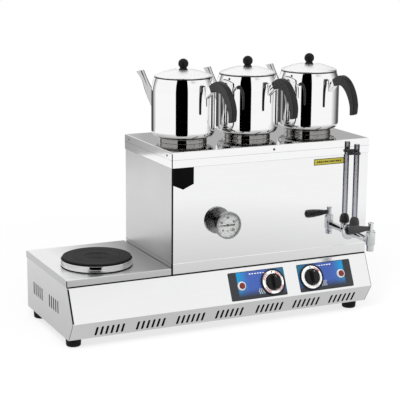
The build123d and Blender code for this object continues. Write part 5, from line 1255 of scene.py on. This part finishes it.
class TEABOILER_OT_thermometer(bpy.types.Operator):
    """Dial thermometer with its scale"""

    bl_idname = "tea_boiler.thermometer"
    bl_label = "Thermometer"

    START = -135.0
    SWEEP = 270.0
    DEGREES = 120

    def needle(self):
        """Pointer with a slim tip and a long counterweight, at rest along x."""
        low, high = box_of("thermometer_pointer")
        hub = Vector(joint_named("pointer_swing")["pos_m"]) / MM
        place = facing(Vector((hub.x, low.y, hub.z)), FORWARD)
        thick = 0.6
        pin = low.y - high.y
        tip = low.x - hub.x
        tail = 20.0
        shape = Shape()
        shape.slab([(tip, -0.35), (0, -1.5), (0, 1.5), (tip, 0.35)], -thick, -0.1, place)
        shape.slab([(0, -1.2), (tail, -1.7), (tail, 1.7), (0, 1.2)], -thick, -0.1, place)
        boss = [(0, pin), (0.7, pin), (0.7, -thick), (3.0, -thick), (3.0, -0.15), (2.6, 0), (0, 0)]
        shape.lathe(boss, place, 0, 32)
        shape.piece("scale_needle", ("Ink black",), "pointer", ("thermometer_pointer",))

    def execute(self, context):
        low, high = box_of("thermometer_dial")
        axis = middle_of("thermometer_dial")
        face = facing(Vector((axis.x, low.y, axis.z)), FORWARD)
        thick = sizes().print_thickness / MM
        radius = (high.x - low.x) / 2
        edge = radius - 2.0
        ring = radius - 1.6
        shape = Shape()
        for reading in range(0, self.DEGREES + 1, 10):
            angle = self.START + self.SWEEP * reading / self.DEGREES
            turn = face @ Matrix.Rotation(-math.radians(angle), 4, "Z")
            major = reading % 30 == 0
            length = 5.0 if major else 3.4
            width = 1.1 if major else 0.7
            outline = [(-width / 2, edge - length), (width / 2, edge - length), (width / 2, edge),
                       (-width / 2, edge)]
            shape.slab(outline, 0.0, thick, turn)
            if major:
                distance = radius - 13.0
                spot = Matrix.Translation((distance * math.sin(math.radians(angle)),
                                           distance * math.cos(math.radians(angle)), 0))
                shape.words(str(reading), 8.6, 0.0, thick, face @ spot)
        shape.band((edge, edge), (ring, ring), self.START, self.START + self.SWEEP, 0.0, thick, face, 0, 90)
        shape.words("°C", 6.0, 0.0, thick, face @ Matrix.Translation((0, -16.5, 0)))
        shape.piece("dial_scale", ("Ink black",), "boiler")
        self.needle()
        dress("thermometer_dial", "Scale white")
        dress("thermometer_glass", "Clear glass")
        dress("thermometer_case", "Dark bezel")
        return {"FINISHED"}


class TEABOILER_OT_controls(bpy.types.Operator):
    """Control plates, printed dials, knobs and pilot lamps"""

    bl_idname = "tea_boiler.controls"
    bl_label = "Controls"

    def knob(self, side, centre, base, top):
        place = facing(centre + SLOPE_OUT * base, SLOPE_OUT)
        height = top - base
        shape = Shape()
        skirt = [(3.2, 0.0), (22.4, 0.0), (23.0, 0.6), (23.0, 3.2), (22.6, 4.8), (21.6, 5.9), (19.0, 6.7),
                 (12.0, 7.2), (0, 7.4)]
        shape.lathe(skirt, place, 0, 96)
        rings = []
        for rise, width, length in ((5.5, 14.0, 43.6), (7.5, 12.4, 43.2), (12.0, 10.8, 42.2),
                                    (height - 2.6, 9.8, 40.8), (height - 1.1, 9.0, 39.8),
                                    (height - 0.35, 7.8, 38.2), (height, 6.0, 36.0)):
            rings.append([(x, y, rise) for x, y in rounded_outline(width, length, width * 0.42, 6)])
        shape.skin(rings, place)
        line = facing(centre + SLOPE_OUT * top, SLOPE_OUT)
        shape.slab(rounded_outline(1.0, 5.0, 0.4, 3), -0.2, 0.0, line @ Matrix.Translation((0, 13.6, 0)), 1)
        shape.piece(f"pointer_knob_{side}", ("Gloss plastic", "Ink white"), f"{side}_knob",
                    (f"knob_{side}",), 40)

    def dial(self, side, centre, face):
        place = facing(centre + SLOPE_OUT * face, SLOPE_OUT)
        thick = sizes().print_thickness / MM
        shape = Shape()
        ring = [(5.6, 0.0), (31.0, 0.0), (31.0, thick), (5.6, thick)]
        shape.lathe(ring, place, 0, 96, loop=True)
        ink = 1.5 * thick
        spot = place @ Matrix.Translation((0, 27.4, 0))
        shape.slab(rounded_outline(4.0, 4.0, 1.99, 5), thick, ink, spot, 1)
        if side == "left":
            for start, end in ((20, 70), (110, 150), (200, 245), (285, 330)):
                for inner in (24.8, 28.2):
                    outer = inner + 1.8
                    shape.band((inner, inner), (outer, outer), start, end, thick, ink, place, 2, 20)
        else:
            shape.band((27.0, 25.0), (27.4, 29.6), 15, 62, thick, ink, place, 2, 30)
            for step in range(3, 11):
                angle = math.radians(30 * step)
                mark = place @ Matrix.Translation((27.4 * math.sin(angle), 27.4 * math.cos(angle), 0))
                shape.slab(rounded_outline(1.8, 1.8, 0.89, 4), thick, ink, mark, 1)
        shape.piece(f"printed_dial_{side}", ("Dial white", "Ink black", "Ink red"), "boiler")

    def print_marks(self, shape, middle, face, turn):
        """Row of white dashes and three wavy lines of rising heat; turn is 1 or -1 along x."""
        place = facing(middle + SLOPE_OUT * face, SLOPE_OUT)
        thick = sizes().print_thickness / MM
        pitch = 8.0
        first = -19.0
        row = 29.0
        for step in range(6):
            dash = place @ Matrix.Translation((turn * (pitch * step + first), row, 0))
            shape.slab(rounded_outline(5.0, 2.2, 0.5, 2), 0.0, thick, dash, 0)
        half = 1.2
        foot = -27.0
        height = 15.0
        steps = 24
        for line in range(3):
            rings = []
            for step in range(steps + 1):
                rise = foot + height * step / steps
                sway = turn * (2.0 + 6.0 * line) + 1.5 * math.sin(2 * math.pi * step / 16)
                rings.append([(sway - half, rise, 0.0), (sway + half, rise, 0.0), (sway + half, rise, thick),
                              (sway - half, rise, thick)])
            shape.skin(rings, place, 1)

    def lamp(self, shape, centre, face):
        place = facing(centre + SLOPE_OUT * face, SLOPE_OUT)
        bezel = [(8.2, 0.0), (12.2, 0.0), (12.2, 0.7), (11.7, 2.2), (10.9, 3.5), (9.8, 4.1), (8.8, 4.2),
                 (8.2, 3.7)]
        shape.lathe(bezel, place, 0, 64, loop=True)

    def execute(self, context):
        pick = colours()
        palette = {"charcoal": (0.026, 0.027, 0.03), "cyan": tuple(pick.cyan), "blue": tuple(pick.blue),
                   "teal": (0.015, 0.12, 0.2)}
        face = reach_of("fascia_left", SLOPE_OUT)[1]
        foot, head = reach_of("fascia_left", SLOPE_UP)
        dial_face = reach_of("dial_rings", SLOPE_OUT)[1] - 1.5
        lens_low, lens_high = box_of("lamp_lenses")
        lens_radius = 8.0
        lamps = Shape()
        marks = Shape()
        for side in KNOB_SIDES:
            low, high = box_of(f"fascia_{side}")
            outer, inner = (low.x, high.x) if side == "left" else (high.x, low.x)
            plate_print(f"Plate print {side}", outer, inner, foot, head, palette)
            dress(f"fascia_{side}", f"Plate print {side}")
            anchor = Vector(joint_named(f"{side}_knob_turn")["pos_m"]) / MM
            centre = anchor - SLOPE_OUT * anchor.dot(SLOPE_OUT)
            base, top = reach_of(f"knob_{side}", SLOPE_OUT)
            self.knob(side, centre, base, top)
            self.dial(side, centre, dial_face)
            lens_x = lens_low.x + lens_radius if side == "left" else lens_high.x - lens_radius
            spot = Vector((lens_x, centre.y, centre.z))
            self.lamp(lamps, spot, face)
            middle = Vector(((low.x + high.x) / 2, centre.y, centre.z))
            self.print_marks(marks, middle, face, 1 if side == "left" else -1)
        marks.piece("plate_marks", ("Ink white", "Ink pale"), "boiler")
        lamps.piece("lamp_rings", ("Lamp ring",), "boiler", ("lamp_bezels",))
        dress("dial_rings", "Gloss plastic")
        dress("lamp_lenses", "Lamp lens")
        return {"FINISHED"}


class TEABOILER_OT_trim(bpy.types.Operator):
    """Bare badge plate and the level strip on the front panel"""

    bl_idname = "tea_boiler.trim"
    bl_label = "Badge plate and level strip"

    def execute(self, context):
        wall = box_of("boiler_front_panel")[0].y + BAND_OUT
        thick = sizes().badge_thickness / MM
        flange_foot = box_of("boiler_top")[0].z
        badge = facing(Vector((-118.0, wall, flange_foot)), FORWARD)
        outline = [(0, -57.0), (30.0, -44.0), (30.0, -0.6), (-30.0, -0.6), (-30.0, -44.0)]
        shape = Shape()
        shape.slab(outline, 0.0, thick, badge, 0, 0.35, 3)
        field = shrunk(outline, 2.4)
        shape.slab(field, thick, thick + 0.18, badge, 0, 0.1, 2)
        shape.piece("badge_plate", ("Badge enamel",), "boiler")

        strip = facing(Vector((311.0, wall, flange_foot - 15.5)), FORWARD)
        base = sizes().strip_thickness / MM
        ink = base + sizes().print_thickness / MM
        shape = Shape()
        shape.slab(rounded_outline(93, 17, 1.2, 3), 0.0, base, strip, 1, 0.08, 2)
        shape.slab(rounded_outline(89.6, 13.6, 0.6, 3), base, ink, strip, 0)
        above = ink + 0.05
        for step in range(13):
            width = 4.6 if step % 3 else 3.2
            mark = strip @ Matrix.Translation((-36 + 6 * step, 0, 0))
            shape.slab(rounded_outline(width, 4.4, 0.4, 2), ink, above, mark, 1)
        shape.piece("level_strip", ("Strip yellow", "Ink black"), "boiler")
        return {"FINISHED"}


class TEABOILER_OT_stage(bpy.types.Operator):
    """Floor, surround, lamps, reflection cards and the camera"""

    bl_idname = "tea_boiler.stage"
    bl_label = "Stage"

    CAMERA = Vector((-1.4395, -2.99125, 1.0595))
    TURN = math.radians(-25.397)
    TILT = math.radians(12.477)
    ROLL = math.radians(0.424)
    LENS = 114.904

    def surround(self, stage):
        world = bpy.data.worlds.new("Studio")
        bpy.context.scene.world = world
        world.use_nodes = True
        tree = world.node_tree
        tree.nodes.clear()
        output = tree.nodes.new("ShaderNodeOutputWorld")
        seen = tree.nodes.new("ShaderNodeBackground")
        soft = tree.nodes.new("ShaderNodeBackground")
        for shader, strength in ((seen, 1.0), (soft, stage.surround)):
            shader.inputs["Color"].default_value = (1, 1, 1, 1)
            shader.inputs["Strength"].default_value = strength
        path = tree.nodes.new("ShaderNodeLightPath")
        first = tree.nodes.new("ShaderNodeMath")
        second = tree.nodes.new("ShaderNodeMath")
        for either in (first, second):
            either.operation = "MAXIMUM"
        mix = tree.nodes.new("ShaderNodeMixShader")
        tree.links.new(path.outputs["Is Camera Ray"], first.inputs[0])
        tree.links.new(path.outputs["Is Glossy Ray"], first.inputs[1])
        tree.links.new(first.outputs[0], second.inputs[0])
        tree.links.new(path.outputs["Is Transmission Ray"], second.inputs[1])
        tree.links.new(second.outputs[0], mix.inputs["Fac"])
        tree.links.new(soft.outputs[0], mix.inputs[1])
        tree.links.new(seen.outputs[0], mix.inputs[2])
        tree.links.new(mix.outputs[0], output.inputs["Surface"])

    def floor(self, stage):
        shape = bmesh.new()
        bmesh.ops.create_grid(shape, x_segments=8, y_segments=8, size=9.0)
        mesh = bpy.data.meshes.new("floor")
        shape.to_mesh(mesh)
        shape.free()
        floor = bpy.data.objects.new("floor", mesh)
        bpy.context.scene.collection.objects.link(floor)
        finish = Finish("Pale floor")
        finish.set(Base_Color=(*stage.floor, 1.0), Roughness=0.9, Specular_IOR_Level=0.1)
        # Within half a metre the floor is 70 percent white glow, rising to all glow by 1.4 m: painted light
        # that lifts the object's shadow.
        place = finish.node("ShaderNodeTexCoord")
        length = finish.node("ShaderNodeVectorMath", operation="LENGTH")
        finish.link(place.outputs["Object"], length.inputs[0])
        fade = finish.span(length.outputs["Value"], 0.7, 1.0, 0.5, 1.4)
        white = finish.node("ShaderNodeEmission")
        seen = finish.node("ShaderNodeMixShader")
        finish.link(fade, seen.inputs["Fac"])
        finish.link(finish.shader.outputs["BSDF"], seen.inputs[1])
        finish.link(white.outputs[0], seen.inputs[2])
        # Reflections see the floor as a glow, 0.58 near the middle rising to 1 by 1.7 m: a painted shadow.
        painted_floor_shadow = finish.node("ShaderNodeEmission")
        depth = finish.span(length.outputs["Value"], 0.58, 1.0, 0.3, 1.7)
        finish.link(depth, painted_floor_shadow.inputs["Strength"])
        path = finish.node("ShaderNodeLightPath")
        mix = finish.node("ShaderNodeMixShader")
        finish.link(path.outputs["Is Glossy Ray"], mix.inputs["Fac"])
        finish.link(seen.outputs[0], mix.inputs[1])
        finish.link(painted_floor_shadow.outputs[0], mix.inputs[2])
        finish.link(mix.outputs[0], finish.output.inputs["Surface"])
        mesh.materials.append(finish.material)

    def card(self, name, corners, shade, fade=None):
        """Sheet that only reflections see.

        fade is an axis, two places along it and the shade at the second place.
        """
        mesh = bpy.data.meshes.new(name)
        mesh.from_pydata(corners, [], [tuple(range(len(corners)))])
        card = bpy.data.objects.new(name, mesh)
        bpy.context.scene.collection.objects.link(card)
        finish = Finish(name)
        glow = finish.node("ShaderNodeEmission")
        glow.inputs["Strength"].default_value = shade
        if fade:
            axis, start, end, last = fade
            place = finish.node("ShaderNodeTexCoord")
            parts = finish.node("ShaderNodeSeparateXYZ")
            finish.link(place.outputs["Object"], parts.inputs[0])
            finish.link(finish.span(parts.outputs[axis], shade, last, start, end), glow.inputs["Strength"])
        finish.link(glow.outputs[0], finish.output.inputs["Surface"])
        mesh.materials.append(finish.material)
        card.visible_camera = False
        card.visible_diffuse = False
        card.visible_shadow = False
        card.visible_transmission = False

    def upright(self, first, last, low, high):
        """Corners of a standing sheet over two places on the floor."""
        return ((*first, low), (*last, low), (*last, high), (*first, high))

    def level(self, first, last, height):
        """Corners of a level sheet between two opposite places."""
        return ((*first, height), (last[0], first[1], height), (*last, height), (first[0], last[1], height))

    def lamp(self, name, place, target, size, power):
        data = bpy.data.lights.new(name, "AREA")
        data.shape = "RECTANGLE"
        data.size = size[0]
        data.size_y = size[1]
        data.energy = power
        lamp = bpy.data.objects.new(name, data)
        lamp.location = place
        lamp.rotation_euler = (Vector(target) - Vector(place)).to_track_quat("-Z", "Y").to_euler()
        lamp.visible_glossy = False
        lamp.visible_transmission = False
        bpy.context.scene.collection.objects.link(lamp)

    def camera(self):
        back = Vector((math.sin(self.TURN) * math.cos(self.TILT),
                       -math.cos(self.TURN) * math.cos(self.TILT), math.sin(self.TILT)))
        right = Vector((math.cos(self.TURN), math.sin(self.TURN), 0))
        upward = back.cross(right)
        cosine = math.cos(self.ROLL)
        sine = math.sin(self.ROLL)
        rolled_right = right * cosine + upward * sine
        rolled_up = upward * cosine - right * sine
        data = bpy.data.cameras.new("camera")
        data.lens = self.LENS
        data.sensor_width = 36.0
        data.clip_end = 50.0
        camera = bpy.data.objects.new("camera", data)
        turn = Matrix((rolled_right, rolled_up, back)).transposed().to_4x4()
        camera.matrix_world = Matrix.Translation(self.CAMERA) @ turn
        bpy.context.scene.collection.objects.link(camera)
        bpy.context.scene.camera = camera

    def execute(self, context):
        stage = context.scene.tea_boiler_stage
        context.scene.view_settings.view_transform = "Standard"
        self.camera()
        self.surround(stage)
        self.floor(stage)
        just_above = 0.002
        card_left = (-1.59, -1.21)
        card_right = (-0.335, -2.04)
        cloth = ((-0.75, -0.5), (-0.42, -0.62), (-0.3, -1.5), card_right, card_left)
        self.card("black_card", self.upright(card_left, card_right, just_above, 2.3), 0.0)
        self.card("black_cloth", [(*corner, just_above) for corner in cloth], 0.0)
        self.card("low_card", self.upright((-0.6, 2.2), (2.7, 2.2), 0.003, 0.42), 0.06)
        self.card("grey_card", self.upright((0.3, 2.1), (2.9, 2.1), 0.6, 1.3), 1.0, ("X", 0.36, 0.7, 0.45))
        self.card("left_card", self.upright((-2.4, 2.3), (-0.6, 2.3), 0.0, 1.5), 1.0, ("X", -2.0, -0.6, 0.12))
        self.card("right_card", self.upright((2.2, -0.9), (2.2, 1.6), 0.0, 2.5), 1.0, ("Y", -0.8, 0.5, 0.1))
        self.card("ceiling_card", self.level((-1.5, 0.5), (3.0, 3.5), 2.6), 0.93)
        self.card("slope_card", self.upright((0.4, -3.0), (2.2, -3.0), 2.1, 2.7), 0.7, ("X", 0.7, 2.0, 1.0))
        middle = (0, 0, 0.3)
        self.lamp("key", (-1.6, -1.9, 2.6), middle, (1.8, 1.8), stage.key)
        self.lamp("fill", (2.2, -1.2, 2.0), middle, (1.6, 1.6), stage.key * 0.4)
        return {"FINISHED"}


class TEABOILER_PT_panel(bpy.types.Panel):
    """Steps of the tea boiler"""

    bl_idname = "TEABOILER_PT_panel"
    bl_label = "Tea boiler"
    bl_space_type = "VIEW_3D"
    bl_region_type = "UI"
    bl_category = "Tea boiler"

    def draw(self, context):
        scene = context.scene
        for group in (scene.tea_boiler_finishes, scene.tea_boiler_sizes, scene.tea_boiler_stage):
            column = self.layout.column()
            for name in group.__annotations__:
                column.prop(group, name)
        for operator in OPERATORS:
            self.layout.operator(operator.bl_idname)


OPERATORS = (
    TEABOILER_OT_finishes,
    TEABOILER_OT_stage,
    TEABOILER_OT_sheet_metal,
    TEABOILER_OT_fasteners,
    TEABOILER_OT_joints,
    TEABOILER_OT_hot_plate,
    TEABOILER_OT_teapots,
    TEABOILER_OT_tap,
    TEABOILER_OT_gauge,
    TEABOILER_OT_thermometer,
    TEABOILER_OT_controls,
    TEABOILER_OT_trim,
)
GROUPS = (TeaBoilerFinishes, TeaBoilerSizes, TeaBoilerStage)


def register():
    for kind in (*GROUPS, *OPERATORS, TEABOILER_PT_panel):
        bpy.utils.register_class(kind)
    bpy.types.Scene.tea_boiler_finishes = PointerProperty(type=TeaBoilerFinishes)
    bpy.types.Scene.tea_boiler_sizes = PointerProperty(type=TeaBoilerSizes)
    bpy.types.Scene.tea_boiler_stage = PointerProperty(type=TeaBoilerStage)


def unregister():
    del bpy.types.Scene.tea_boiler_stage
    del bpy.types.Scene.tea_boiler_sizes
    del bpy.types.Scene.tea_boiler_finishes
    for kind in reversed((*GROUPS, *OPERATORS, TEABOILER_PT_panel)):
        bpy.utils.unregister_class(kind)


def main():
    """Make every piece in order."""
    register()
    bpy.ops.tea_boiler.finishes()
    bpy.ops.tea_boiler.stage()
    bpy.ops.tea_boiler.sheet_metal()
    bpy.ops.tea_boiler.fasteners()
    bpy.ops.tea_boiler.joints()
    bpy.ops.tea_boiler.hot_plate()
    bpy.ops.tea_boiler.teapots()
    bpy.ops.tea_boiler.tap()
    bpy.ops.tea_boiler.gauge()
    bpy.ops.tea_boiler.thermometer()
    bpy.ops.tea_boiler.controls()
    bpy.ops.tea_boiler.trim()


if __name__ == "__main__":
    main()
